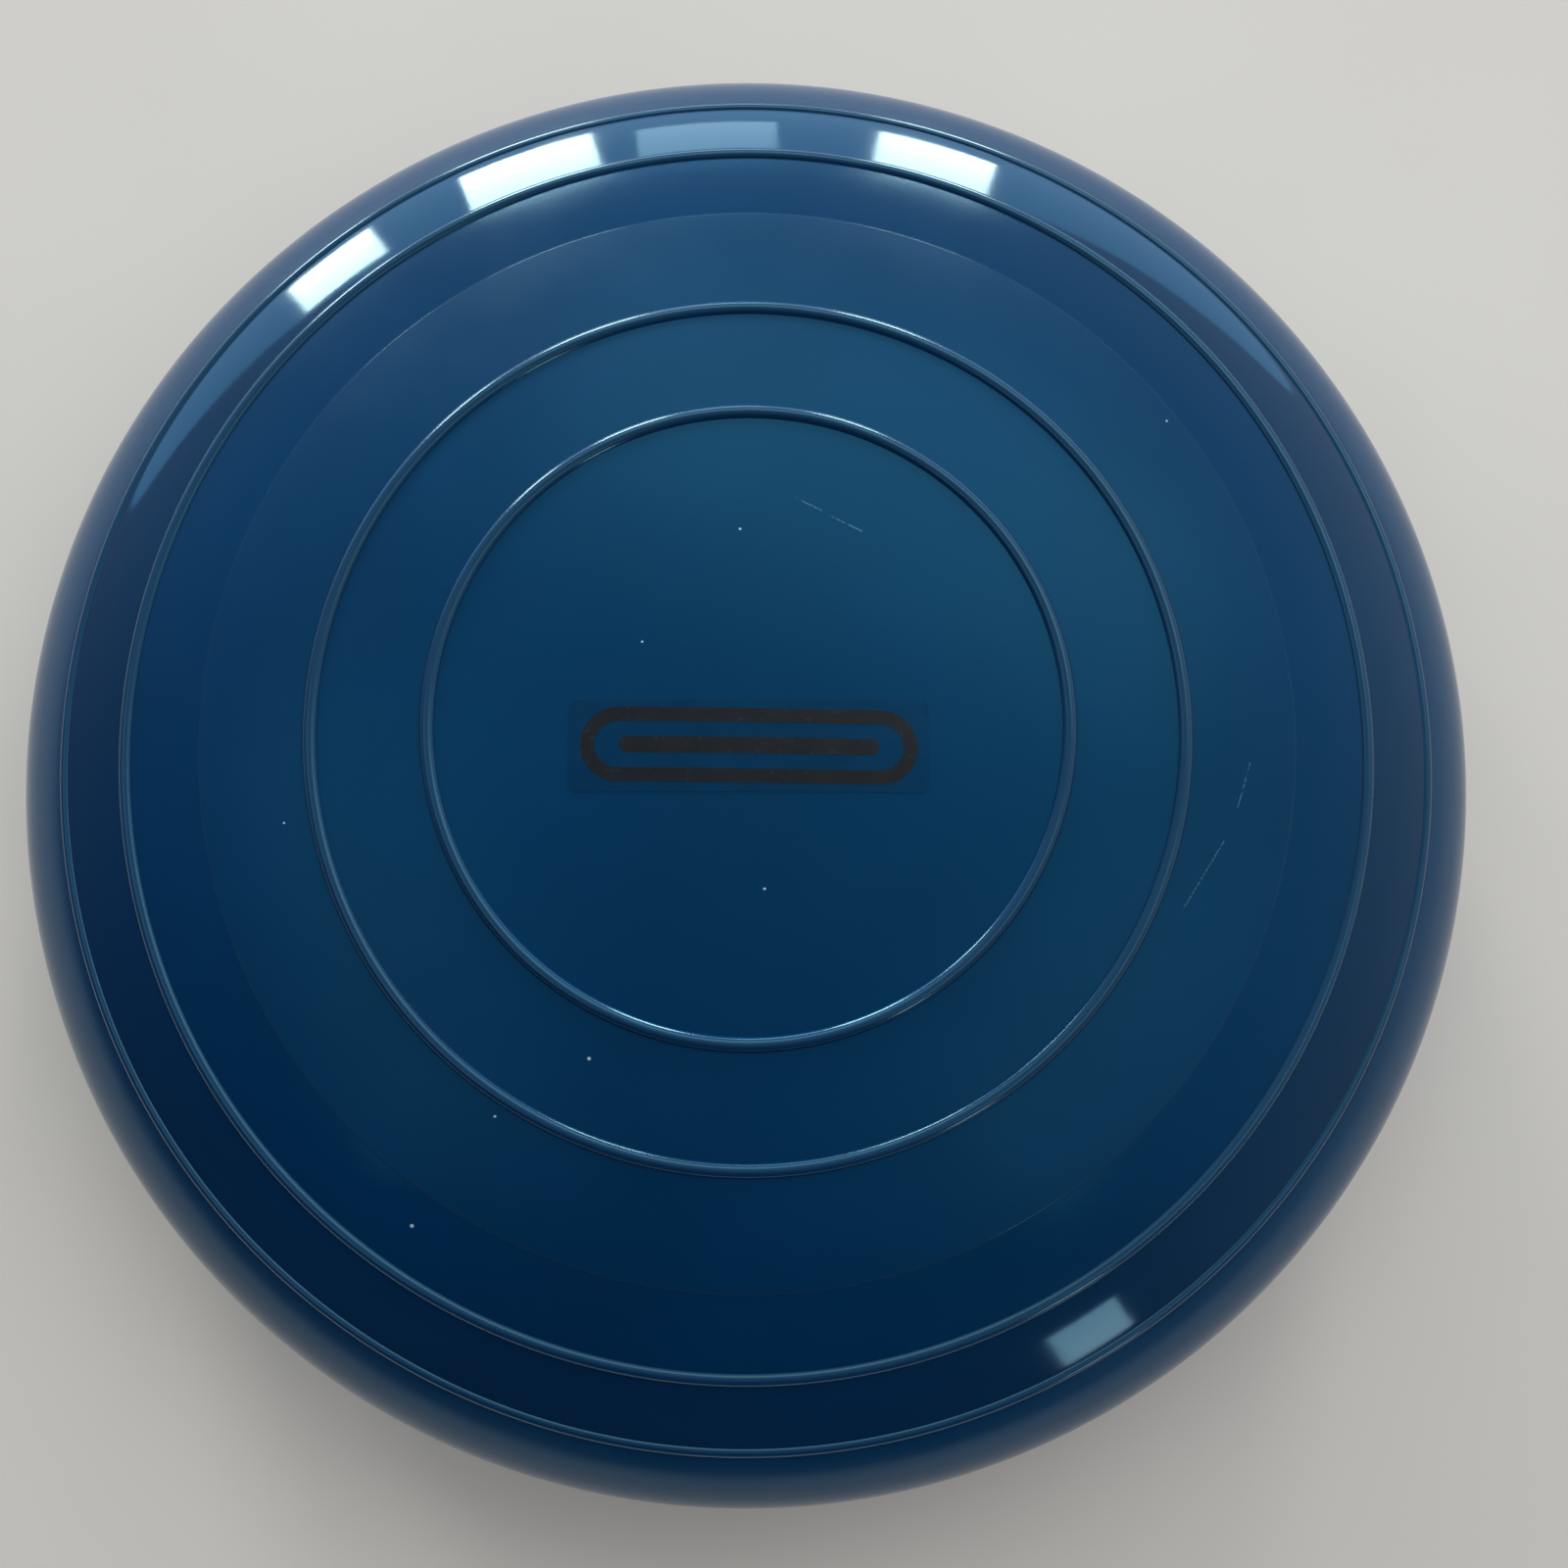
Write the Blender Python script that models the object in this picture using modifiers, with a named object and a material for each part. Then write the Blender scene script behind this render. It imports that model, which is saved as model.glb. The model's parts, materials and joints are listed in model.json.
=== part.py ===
"""Balance dome trainer: an inflated PVC dome clamped to a round two-part platform.

Metres, +Z up. The origin is on the floor, on the dome's axis.
"""

import math

import bmesh
import bpy
from mathutils import Matrix, Vector

# Driving dimensions
GAP = 0.0003
SEGMENTS = 60
ROOM_SEGMENTS = 64

DOME_RADIUS = 0.300
DOME_RISE = 0.29 * DOME_RADIUS
BELLY_Z = 0.082
WALL = 0.004

BEAD_RADII = (0.397 * DOME_RADIUS, 0.547 * DOME_RADIUS, 0.804 * DOME_RADIUS, 0.9015 * DOME_RADIUS)
BEAD_WIDTHS = (0.0056, 0.0056, 0.0050, 0.0036)
BEAD_HEIGHTS = (0.0020, 0.0020, 0.0018, 0.0012)
STEP_RADIUS = 0.696 * DOME_RADIUS
STEP_HEIGHT = 0.0005

FOOT_HEIGHT = 0.0045
FLOOR_THICKNESS = 0.003
TRAY_BOTTOM = FOOT_HEIGHT + GAP
DECK_TOP = 0.0367
DECK_THICKNESS = 0.003
DECK_UNDERSIDE = DECK_TOP - DECK_THICKNESS
FLANGE_RADIUS = 0.2925
FLANGE_THICKNESS = 0.007
FLANGE_UNDERSIDE = DECK_TOP - FLANGE_THICKNESS
FLANGE_CORNER = 0.0012
TRAY_TOP = DECK_UNDERSIDE - GAP
TRAY_RADIUS = 0.2787
TRAY_FOOT_RADIUS = 0.266
CAVITY_RADIUS = 0.267

LIP_BOTTOM = DECK_TOP + GAP
LIP_TOP = LIP_BOTTOM + WALL
LIP_RADIUS = 0.281
NECK_RADIUS = 0.272
FLANK_DEPTH = 0.038

RING_INNER_RADIUS = 0.2745
RING_CREST_RADIUS = 0.2885
RING_TOP = 0.0480
RING_CLEARANCE = 0.0011

RING_SCREW_COUNT = 12
RING_SCREW_CIRCLE = 0.2868
RING_SCREW_START = math.radians(15)
RING_SCREW_TIP = 0.0446
DECK_SCREW_COUNT = 6
DECK_SCREW_CIRCLE = 0.190
DECK_SCREW_START = math.radians(3)
DECK_SCREW_TIP = 0.0235
SCREW_HOLE_RADIUS = 0.0022
SHANK_RADIUS = SCREW_HOLE_RADIUS - GAP
SCREW_TIP_RADIUS = 0.0010
SCREW_TIP_LENGTH = 0.0015
PAN_HEAD_RADIUS = 0.0036
PAN_HEAD_ROUND = 0.0010
HEAD_SUNK = 0.0004
COUNTERBORE_RADIUS = PAN_HEAD_RADIUS + GAP
COUNTERBORE_DEPTH = 0.0035
COUNTERSUNK_RADIUS = 0.0036
COUNTERSUNK_DEPTH = 0.0020
COUNTERSINK_RADIUS = 0.0042
CROSS_REACH = 0.0021
CROSS_HALF_WIDTH = 0.0004
CROSS_DEPTH = 0.0012

BOSS_RADIUS = 0.006
RIB_THICKNESS = 0.003
RIB_CIRCLES = (0.100, 0.190)
RADIAL_RIB_COUNT = 6
RADIAL_RIB_START = math.radians(15)
RADIAL_RIB_INNER = 0.020

FOOT_COUNT = 6
FOOT_CIRCLE = 0.238
FOOT_START = math.radians(33)
FOOT_RADIUS = 0.016
FOOT_HOLE_RADIUS = 0.0040
FOOT_BARB_RADIUS = 0.0050
FOOT_BARB_TIP = 0.0020
FOOT_BARB_LENGTH = 0.0050

GRIP_WIDTH = 0.100
GRIP_INNER_X = 0.240
GRIP_TOP = 0.0262
GRIP_CORNER = 0.010
GRIP_WALL = 0.0035

VALVE_TURN = math.radians(40)
VALVE_BORE = 0.0042
VALVE_NECK = 0.0060
VALVE_FLANGE = 0.0075
VALVE_FLANGE_THICKNESS = 0.0012
VALVE_PAD_RADIUS = 0.009
VALVE_PAD_PROUD = 0.0008
VALVE_GRIP = 0.0064
VALVE_LENGTH = 0.0094
VALVE_BARB_RADIUS = 0.0076
PLUG_HEAD_RADIUS = 0.0056
PLUG_HEAD_THICKNESS = 0.0011
PLUG_TIP_RADIUS = 0.0026
PLUG_TIP_LENGTH = 0.0030

MARK_LENGTH = 0.132
MARK_WIDTH = 0.034
MARK_CENTRE_Y = -0.011
MARK_THICKNESS = 0.0004
MARK_CORNER = 0.003

CUT_PAST = 0.010


def clear_scene():
    for obj in list(bpy.data.objects):
        bpy.data.objects.remove(obj)


def collection(name):
    made = bpy.data.collections.new(name)
    bpy.context.scene.collection.children.link(made)
    return made


def material(name, colour, roughness, metallic=0.0):
    made = bpy.data.materials.new(name)
    made.use_nodes = True
    shader = made.node_tree.nodes["Principled BSDF"]
    shader.inputs["Base Color"].default_value = (*colour, 1.0)
    shader.inputs["Roughness"].default_value = roughness
    shader.inputs["Metallic"].default_value = metallic
    return made


clear_scene()
PARTS = collection("balance_dome_trainer")
CUTTERS = collection("cutters")

DOME_PVC = material("dome_pvc", (0.001, 0.029, 0.100), 0.22)
MARK_FILM = material("mark_film", (0.010, 0.016, 0.022), 0.30)
RING_PLASTIC = material("ring_plastic", (0.020, 0.022, 0.024), 0.45)
TRAY_PLASTIC = material("tray_plastic", (0.024, 0.026, 0.028), 0.50)
DECK_PLASTIC = material("deck_plastic", (0.030, 0.032, 0.035), 0.55)
FOOT_RUBBER = material("foot_rubber", (0.012, 0.012, 0.012), 0.85)
VALVE_PVC = material("valve_pvc", (0.010, 0.012, 0.014), 0.40)
PLUG_PLASTIC = material("plug_plastic", (0.75, 0.75, 0.72), 0.40)
SCREW_STEEL = material("screw_steel", (0.55, 0.55, 0.56), 0.30, 1.0)


def add(name, mesh, place=None, group=PARTS, paint=None):
    """A new object of that mesh, at the matrix place."""
    obj = bpy.data.objects.new(name, mesh)
    obj.matrix_world = place or Matrix.Identity(4)
    group.objects.link(obj)
    if paint:
        mesh.materials.append(paint)
    if group is CUTTERS:
        obj.hide_render = True
        obj.display_type = "WIRE"
    return obj


def turned(name, lines, place=None, group=PARTS, paint=None, segments=SEGMENTS, loop=False):
    """A solid turned about Z from (radius, height) points that run down its outer side."""
    mesh = bpy.data.meshes.new(name)
    points = [(r, 0.0, z) for r, z in lines]
    edges = [(i, i + 1) for i in range(len(points) - 1)]
    if loop:
        edges.append((len(points) - 1, 0))
    mesh.from_pydata(points, edges, [])
    obj = add(name, mesh, place, group, paint)
    screw = obj.modifiers.new("turn", "SCREW")
    screw.axis = "Z"
    screw.steps = segments
    screw.render_steps = segments
    screw.use_merge_vertices = True
    screw.merge_threshold = 0.00001
    return obj


def cylinder(name, radius, low, high, place=None, segments=12):
    """A cutter: an upright cylinder."""
    side = [(0, high), (radius, high), (radius, low), (0, low)]
    return turned(name, side, place, CUTTERS, segments=segments)


def block(name, low, high, corner=0.0, place=None):
    """A cutter: a box whose upright edges may be rounded."""
    cage = bmesh.new()
    bmesh.ops.create_cube(cage, size=1.0)
    size = Vector(high) - Vector(low)
    bmesh.ops.scale(cage, vec=size, verts=cage.verts)
    bmesh.ops.translate(cage, vec=Vector(low) + size / 2, verts=cage.verts)
    upright = [e for e in cage.edges if abs(e.verts[0].co.z - e.verts[1].co.z) > size.z / 2]
    if corner:
        bmesh.ops.bevel(cage, geom=upright, offset=corner, segments=3, profile=0.5, affect="EDGES")
    mesh = bpy.data.meshes.new(name)
    cage.to_mesh(mesh)
    cage.free()
    return add(name, mesh, place, CUTTERS)


def combine(obj, operation, others):
    """Boolean of obj with each of the others in turn."""
    for other in others:
        boolean = obj.modifiers.new(f"{operation.lower()}_{other.name}", "BOOLEAN")
        boolean.operation = operation
        boolean.object = other
        boolean.solver = "EXACT"


def circle(count, radius, start):
    """Matrices spaced evenly round the Z axis, each with its own X pointing outwards."""
    for i in range(count):
        turn = Matrix.Rotation(start + i * math.tau / count, 4, "Z")
        yield turn @ Matrix.Translation((radius, 0, 0))


def dome_height(r):
    """Height of the smooth dome, half an ellipsoid, at radius r."""
    return BELLY_Z + DOME_RISE * math.sqrt(max(0.0, 1 - (r / DOME_RADIUS) ** 2))


def dome_normal(r):
    outward = r / DOME_RADIUS**2
    up = (dome_height(r) - BELLY_Z) / DOME_RISE**2
    length = math.hypot(outward, up)
    return (outward / length, up / length)


def on_dome(r, proud=0.0):
    """The point that stands proud of the smooth dome surface at radius r."""
    outward, up = dome_normal(r)
    return (r + proud * outward, dome_height(r) + proud * up)


def on_flank(turn, depth=0.0):
    """The point of the tucked-in flank below the belly, depth inside its surface."""
    reach = DOME_RADIUS - NECK_RADIUS
    r = NECK_RADIUS + reach * math.cos(turn)
    z = BELLY_Z - FLANK_DEPTH * math.sin(turn)
    outward, up = math.cos(turn) / reach, -math.sin(turn) / FLANK_DEPTH
    length = math.hypot(outward, up)
    return (r - depth * outward / length, z - depth * up / length)


def dome_outline():
    """Outer surface from the crown to the belly, with its beads and the crown's step."""
    points = [(0.0, dome_height(0.0) + STEP_HEIGHT)]
    points += [on_dome(f * DOME_RADIUS, STEP_HEIGHT) for f in (0.13, 0.26, 0.46, 0.61)]
    points += [on_dome(STEP_RADIUS, STEP_HEIGHT), on_dome(STEP_RADIUS + STEP_HEIGHT)]
    points += [on_dome(f * DOME_RADIUS) for f in (0.75, 0.85, 0.945, 0.975, 0.992)]
    for r, width, height in zip(BEAD_RADII, BEAD_WIDTHS, BEAD_HEIGHTS):
        base = STEP_HEIGHT if r < STEP_RADIUS else 0.0
        points += [on_dome(r - width / 2, base), on_dome(r, base + height), on_dome(r + width / 2, base)]
    return sorted(points) + [(DOME_RADIUS, BELLY_Z)]


def make_bladder(valve_place):
    flank = [on_flank(math.radians(t)) for t in (22, 44, 66, 90)]
    lip = [(NECK_RADIUS, LIP_TOP), (LIP_RADIUS, LIP_TOP), (LIP_RADIUS, LIP_BOTTOM), (0, LIP_BOTTOM)]
    bladder = turned("dome_bladder", dome_outline() + flank + lip, paint=DOME_PVC)
    pad = cylinder("valve_pad", VALVE_PAD_RADIUS, -WALL * 0.75, VALVE_PAD_PROUD, valve_place, segments=20)

    stations = (0.0, 0.40, 0.65, 0.82, 0.92, 0.97)
    inside = [on_dome(f * DOME_RADIUS, -WALL) for f in stations] + [(DOME_RADIUS - WALL, BELLY_Z)]
    inside += [on_flank(math.radians(t), WALL) for t in (34, 66)]
    bend_top = LIP_TOP + 1.4 * WALL
    inside += [(NECK_RADIUS - WALL, bend_top), (NECK_RADIUS - WALL, LIP_TOP), (0, LIP_TOP)]
    chamber = turned("air_chamber", inside, group=CUTTERS)
    hole = cylinder("valve_hole", VALVE_NECK + GAP, -2 * CUT_PAST, CUT_PAST, valve_place, segments=16)
    combine(bladder, "UNION", [pad])
    combine(bladder, "DIFFERENCE", [chamber, hole])


def make_crown_mark():
    """A film that follows the crown, cut to a rounded rectangle."""
    stations = [f * DOME_RADIUS for f in (0.0, 0.13, 0.26)]
    under, over = STEP_HEIGHT + GAP, STEP_HEIGHT + GAP + MARK_THICKNESS
    upper = [on_dome(r, over) for r in stations]
    lower = [on_dome(r, under) for r in reversed(stations)]
    mark = turned("crown_mark", upper + lower, paint=MARK_FILM)
    half_length, half_width = MARK_LENGTH / 2, MARK_WIDTH / 2
    low = (-half_length, MARK_CENTRE_Y - half_width, BELLY_Z)
    high = (half_length, MARK_CENTRE_Y + half_width, BELLY_Z + 2 * DOME_RISE)
    combine(mark, "INTERSECT", [block("mark_outline", low, high, MARK_CORNER)])


def make_rim_ring():
    """The ring follows the flank above it and holds the lip in a rebate below it."""
    rebate = LIP_RADIUS + 2 * GAP
    clear = LIP_TOP + GAP
    flat_edge = FLANGE_RADIUS - 0.4 * FLANGE_CORNER
    section = [(RING_INNER_RADIUS, clear + 0.0018)]
    section += [on_flank(math.radians(t), -RING_CLEARANCE) for t in (73, 63)]
    section += [
        (RING_CREST_RADIUS, RING_TOP),
        (FLANGE_RADIUS - 0.0010, RING_TOP - 0.0008),
        (FLANGE_RADIUS, RING_TOP - 0.0025),
        (FLANGE_RADIUS, LIP_BOTTOM + 0.4 * FLANGE_CORNER),
        (flat_edge, LIP_BOTTOM),
        (rebate, LIP_BOTTOM),
        (rebate, clear),
        (RING_INNER_RADIUS, clear),
    ]
    ring = turned("rim_ring", section, paint=RING_PLASTIC, loop=True)
    places = circle(RING_SCREW_COUNT, RING_SCREW_CIRCLE, RING_SCREW_START)
    low, high = LIP_BOTTOM - CUT_PAST, RING_SCREW_TIP + GAP
    holes = [
        cylinder(f"ring_hole_{i}", SCREW_HOLE_RADIUS, low, high, place)
        for i, place in enumerate(places)
    ]
    combine(ring, "DIFFERENCE", holes)


def tray_keepers():
    """What stays standing in the tray's rooms: radial ribs, screw bosses and the finger recesses' walls."""
    low, high = TRAY_BOTTOM, TRAY_TOP + 2 * CUT_PAST
    kept = []
    for i, place in enumerate(circle(RADIAL_RIB_COUNT, 0.0, RADIAL_RIB_START)):
        start = (RADIAL_RIB_INNER, -RIB_THICKNESS / 2, low)
        end = (CAVITY_RADIUS + CUT_PAST / 2, RIB_THICKNESS / 2, high)
        kept.append(block(f"radial_rib_{i}", start, end, place=place))
    for i, place in enumerate(circle(DECK_SCREW_COUNT, DECK_SCREW_CIRCLE, DECK_SCREW_START)):
        kept.append(cylinder(f"boss_{i}", BOSS_RADIUS, low, high, place, segments=16))
    for side in (0, 1):
        half = GRIP_WIDTH / 2 + GRIP_WALL
        start = (GRIP_INNER_X - GRIP_WALL, -half, low)
        end = (CAVITY_RADIUS + CUT_PAST, half, high)
        turn = Matrix.Rotation(side * math.pi, 4, "Z")
        kept.append(block(f"grip_wall_{side}", start, end, GRIP_WALL, turn))
    return kept


def tray_rooms():
    """The open-topped hollows between the tray's circular ribs."""
    low, high = TRAY_BOTTOM + FLOOR_THICKNESS, TRAY_TOP + CUT_PAST
    bounds = [0.0, *RIB_CIRCLES, CAVITY_RADIUS + RIB_THICKNESS / 2]
    half_step = Matrix.Rotation(math.pi / ROOM_SEGMENTS, 4, "Z")
    rooms = []
    for i, (start, end) in enumerate(zip(bounds, bounds[1:])):
        inner, outer = start + RIB_THICKNESS / 2, end - RIB_THICKNESS / 2
        section = [(inner, high), (outer, high), (outer, low), (inner, low)]
        if start == 0.0:
            section = [(0, high), (outer, high), (outer, low), (0, low)]
        name = f"tray_room_{i}"
        rooms.append(turned(name, section, half_step, CUTTERS, segments=ROOM_SEGMENTS, loop=start > 0))
    return rooms


def make_base_tray():
    """The lower shell: a ribbed tray with a finger recess on each side."""
    shoulder = FLANGE_UNDERSIDE - 0.0008
    outline = [
        (0, TRAY_TOP),
        (TRAY_RADIUS, TRAY_TOP),
        (TRAY_RADIUS, shoulder),
        (TRAY_RADIUS - 0.0022, shoulder - 0.0006),
        (TRAY_RADIUS - 0.0037, shoulder - 0.0024),
        (TRAY_FOOT_RADIUS + 0.0052, TRAY_BOTTOM + 0.0050),
        (TRAY_FOOT_RADIUS + 0.0036, TRAY_BOTTOM + 0.0018),
        (TRAY_FOOT_RADIUS, TRAY_BOTTOM),
        (0, TRAY_BOTTOM),
    ]
    tray = turned("base_tray", outline, paint=TRAY_PLASTIC)

    keepers = tray_keepers()
    cutters = tray_rooms()
    for room in cutters:
        combine(room, "DIFFERENCE", keepers)
    for side in (0, 1):
        low = (GRIP_INNER_X, -GRIP_WIDTH / 2, -CUT_PAST)
        high = (FLANGE_RADIUS + CUT_PAST, GRIP_WIDTH / 2, GRIP_TOP)
        turn = Matrix.Rotation(side * math.pi, 4, "Z")
        cutters.append(block(f"grip_recess_{side}", low, high, GRIP_CORNER, turn))
    low, high = DECK_SCREW_TIP - SCREW_TIP_LENGTH, TRAY_TOP + CUT_PAST
    for i, place in enumerate(circle(DECK_SCREW_COUNT, DECK_SCREW_CIRCLE, DECK_SCREW_START)):
        cutters.append(cylinder(f"boss_hole_{i}", SCREW_HOLE_RADIUS, low, high, place))
    for i, place in enumerate(circle(FOOT_COUNT, FOOT_CIRCLE, FOOT_START)):
        cutters.append(cylinder(f"foot_hole_{i}", FOOT_HOLE_RADIUS, -CUT_PAST, 2 * CUT_PAST, place))
    combine(tray, "DIFFERENCE", cutters)


def make_deck_plate():
    """The upper shell: a flat deck with a thick flange that laps round the tray's wall."""
    step = TRAY_RADIUS + GAP
    outline = [
        (0, DECK_TOP),
        (FLANGE_RADIUS - 0.4 * FLANGE_CORNER, DECK_TOP),
        (FLANGE_RADIUS, DECK_TOP - 0.4 * FLANGE_CORNER),
        (FLANGE_RADIUS, FLANGE_UNDERSIDE + FLANGE_CORNER),
        (FLANGE_RADIUS - FLANGE_CORNER, FLANGE_UNDERSIDE),
        (step, FLANGE_UNDERSIDE),
        (step, DECK_UNDERSIDE),
        (0, DECK_UNDERSIDE),
    ]
    deck = turned("deck_plate", outline, paint=DECK_PLASTIC)

    above, below = DECK_TOP + CUT_PAST, FLANGE_UNDERSIDE - CUT_PAST
    bore_top = FLANGE_UNDERSIDE + COUNTERBORE_DEPTH
    cone = DECK_TOP - COUNTERSUNK_DEPTH
    ring_hole = [(0, above), (SCREW_HOLE_RADIUS, above), (SCREW_HOLE_RADIUS, bore_top)]
    ring_hole += [(COUNTERBORE_RADIUS, bore_top), (COUNTERBORE_RADIUS, below), (0, below)]
    deck_hole = [(0, above), (COUNTERSINK_RADIUS, above), (COUNTERSINK_RADIUS, DECK_TOP)]
    deck_hole += [(SCREW_HOLE_RADIUS, cone), (SCREW_HOLE_RADIUS, below), (0, below)]
    holes = []
    for i, place in enumerate(circle(RING_SCREW_COUNT, RING_SCREW_CIRCLE, RING_SCREW_START)):
        holes.append(turned(f"flange_hole_{i}", ring_hole, place, CUTTERS, segments=12))
    for i, place in enumerate(circle(DECK_SCREW_COUNT, DECK_SCREW_CIRCLE, DECK_SCREW_START)):
        holes.append(turned(f"deck_hole_{i}", deck_hole, place, CUTTERS, segments=12))
    combine(deck, "DIFFERENCE", holes)


def cross_recess(name, place, low, high):
    """Two crossed slots, each a cutter."""
    start = (-CROSS_REACH, -CROSS_HALF_WIDTH, low)
    end = (CROSS_REACH, CROSS_HALF_WIDTH, high)
    quarter = Matrix.Rotation(math.pi / 2, 4, "Z")
    return [
        block(f"{name}_slot_a", start, end, place=place),
        block(f"{name}_slot_b", start, end, place=place @ quarter),
    ]


def make_ring_screws():
    """Pan head screws that go up through the flange into the ring."""
    head_low = FLANGE_UNDERSIDE + HEAD_SUNK
    head_high = FLANGE_UNDERSIDE + COUNTERBORE_DEPTH - GAP
    outline = [
        (0, RING_SCREW_TIP),
        (SCREW_TIP_RADIUS, RING_SCREW_TIP),
        (SHANK_RADIUS, RING_SCREW_TIP - SCREW_TIP_LENGTH),
        (SHANK_RADIUS, head_high),
        (PAN_HEAD_RADIUS, head_high),
        (PAN_HEAD_RADIUS, head_low + PAN_HEAD_ROUND),
        (PAN_HEAD_RADIUS - PAN_HEAD_ROUND, head_low),
        (0, head_low),
    ]
    for i, place in enumerate(circle(RING_SCREW_COUNT, RING_SCREW_CIRCLE, RING_SCREW_START), 1):
        name = f"ring_screw_{i:02d}"
        screw = turned(name, outline, place, paint=SCREW_STEEL, segments=12)
        slots = cross_recess(name, place, head_low - CUT_PAST, head_low + CROSS_DEPTH)
        combine(screw, "DIFFERENCE", slots)


def make_deck_screws():
    """Countersunk screws that go down through the deck into the tray's bosses."""
    top = DECK_TOP - HEAD_SUNK / 2
    outline = [
        (0, top),
        (COUNTERSUNK_RADIUS, top),
        (SHANK_RADIUS, top - COUNTERSUNK_DEPTH),
        (SHANK_RADIUS, DECK_SCREW_TIP + SCREW_TIP_LENGTH),
        (SCREW_TIP_RADIUS, DECK_SCREW_TIP),
        (0, DECK_SCREW_TIP),
    ]
    for i, place in enumerate(circle(DECK_SCREW_COUNT, DECK_SCREW_CIRCLE, DECK_SCREW_START), 1):
        name = f"deck_screw_{i}"
        screw = turned(name, outline, place, paint=SCREW_STEEL, segments=12)
        combine(screw, "DIFFERENCE", cross_recess(name, place, top - CROSS_DEPTH, top + CUT_PAST))


def make_feet():
    """Rubber pads with a barbed stem that snaps through the tray's floor."""
    inside = TRAY_BOTTOM + FLOOR_THICKNESS + GAP
    stem = FOOT_HOLE_RADIUS - GAP
    outline = [
        (0, inside + FOOT_BARB_LENGTH),
        (FOOT_BARB_TIP, inside + FOOT_BARB_LENGTH),
        (FOOT_BARB_RADIUS, inside),
        (stem, inside),
        (stem, FOOT_HEIGHT),
        (FOOT_RADIUS - 0.0006, FOOT_HEIGHT),
        (FOOT_RADIUS, FOOT_HEIGHT - 0.0008),
        (FOOT_RADIUS - 0.0004, 0.0012),
        (FOOT_RADIUS - 0.0018, 0.0),
        (0, 0.0),
    ]
    for i, place in enumerate(circle(FOOT_COUNT, FOOT_CIRCLE, FOOT_START), 1):
        turned(f"foot_{i}", outline, place, paint=FOOT_RUBBER, segments=16)


def valve_frame():
    """An empty on the flank, on the -Y side, whose Z axis is the valve's axis and points outwards."""
    r, z = on_flank(VALVE_TURN)
    inner_r, inner_z = on_flank(VALVE_TURN, 1.0)
    outward, up = r - inner_r, z - inner_z
    turn = Vector((0, -outward, up)).to_track_quat("Z", "X").to_matrix().to_4x4()
    frame = bpy.data.objects.new("valve_axis", None)
    frame.matrix_world = Matrix.Translation((0, -r, z)) @ turn
    PARTS.objects.link(frame)
    return frame


def make_valve(frame):
    """The valve tube, held by a flange on each side of the bladder's wall, and its plug."""
    face = VALVE_PAD_PROUD + GAP
    top = face + VALVE_FLANGE_THICKNESS
    outline = [
        (VALVE_BORE, top),
        (VALVE_FLANGE - 0.0005, top),
        (VALVE_FLANGE, top - 0.0005),
        (VALVE_FLANGE, face),
        (VALVE_NECK, face),
        (VALVE_NECK, -VALVE_GRIP),
        (VALVE_BARB_RADIUS, -VALVE_GRIP),
        (VALVE_NECK, -VALVE_LENGTH),
        (VALVE_BORE, -VALVE_LENGTH),
    ]
    insert = turned("valve_insert", outline, paint=VALVE_PVC, segments=20, loop=True)
    seat = top + GAP
    stem = VALVE_BORE - GAP
    tip = 0.001 - VALVE_LENGTH - PLUG_TIP_LENGTH
    plug_outline = [
        (0, seat + PLUG_HEAD_THICKNESS),
        (PLUG_HEAD_RADIUS - 0.0007, seat + PLUG_HEAD_THICKNESS),
        (PLUG_HEAD_RADIUS, seat + PLUG_HEAD_THICKNESS / 2),
        (PLUG_HEAD_RADIUS, seat),
        (stem, seat),
        (stem, tip + PLUG_TIP_LENGTH),
        (PLUG_TIP_RADIUS, tip),
        (0, tip),
    ]
    plug = turned("valve_plug", plug_outline, paint=PLUG_PLASTIC, segments=20)
    for piece in (insert, plug):
        piece.parent = frame


def settle_meshes():
    """Each part gets its final mesh, smooth except at its real edges."""
    bpy.context.view_layer.update()
    graph = bpy.context.evaluated_depsgraph_get()
    final = {}
    for obj in PARTS.objects:
        if obj.type == "MESH":
            final[obj] = bpy.data.meshes.new_from_object(obj.evaluated_get(graph), depsgraph=graph)
    for obj, mesh in final.items():
        obj.modifiers.clear()
        mesh.name = obj.name
        obj.data = mesh
        mesh.shade_smooth()
        mesh.set_sharp_from_angle(angle=math.radians(32))


valve_axis = valve_frame()
make_bladder(valve_axis.matrix_world)
make_crown_mark()
make_rim_ring()
make_base_tray()
make_deck_plate()
make_ring_screws()
make_deck_screws()
make_feet()
make_valve(valve_axis)
settle_meshes()
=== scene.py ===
import json
import math

import bmesh
import bpy
from mathutils import Matrix, Vector


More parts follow.
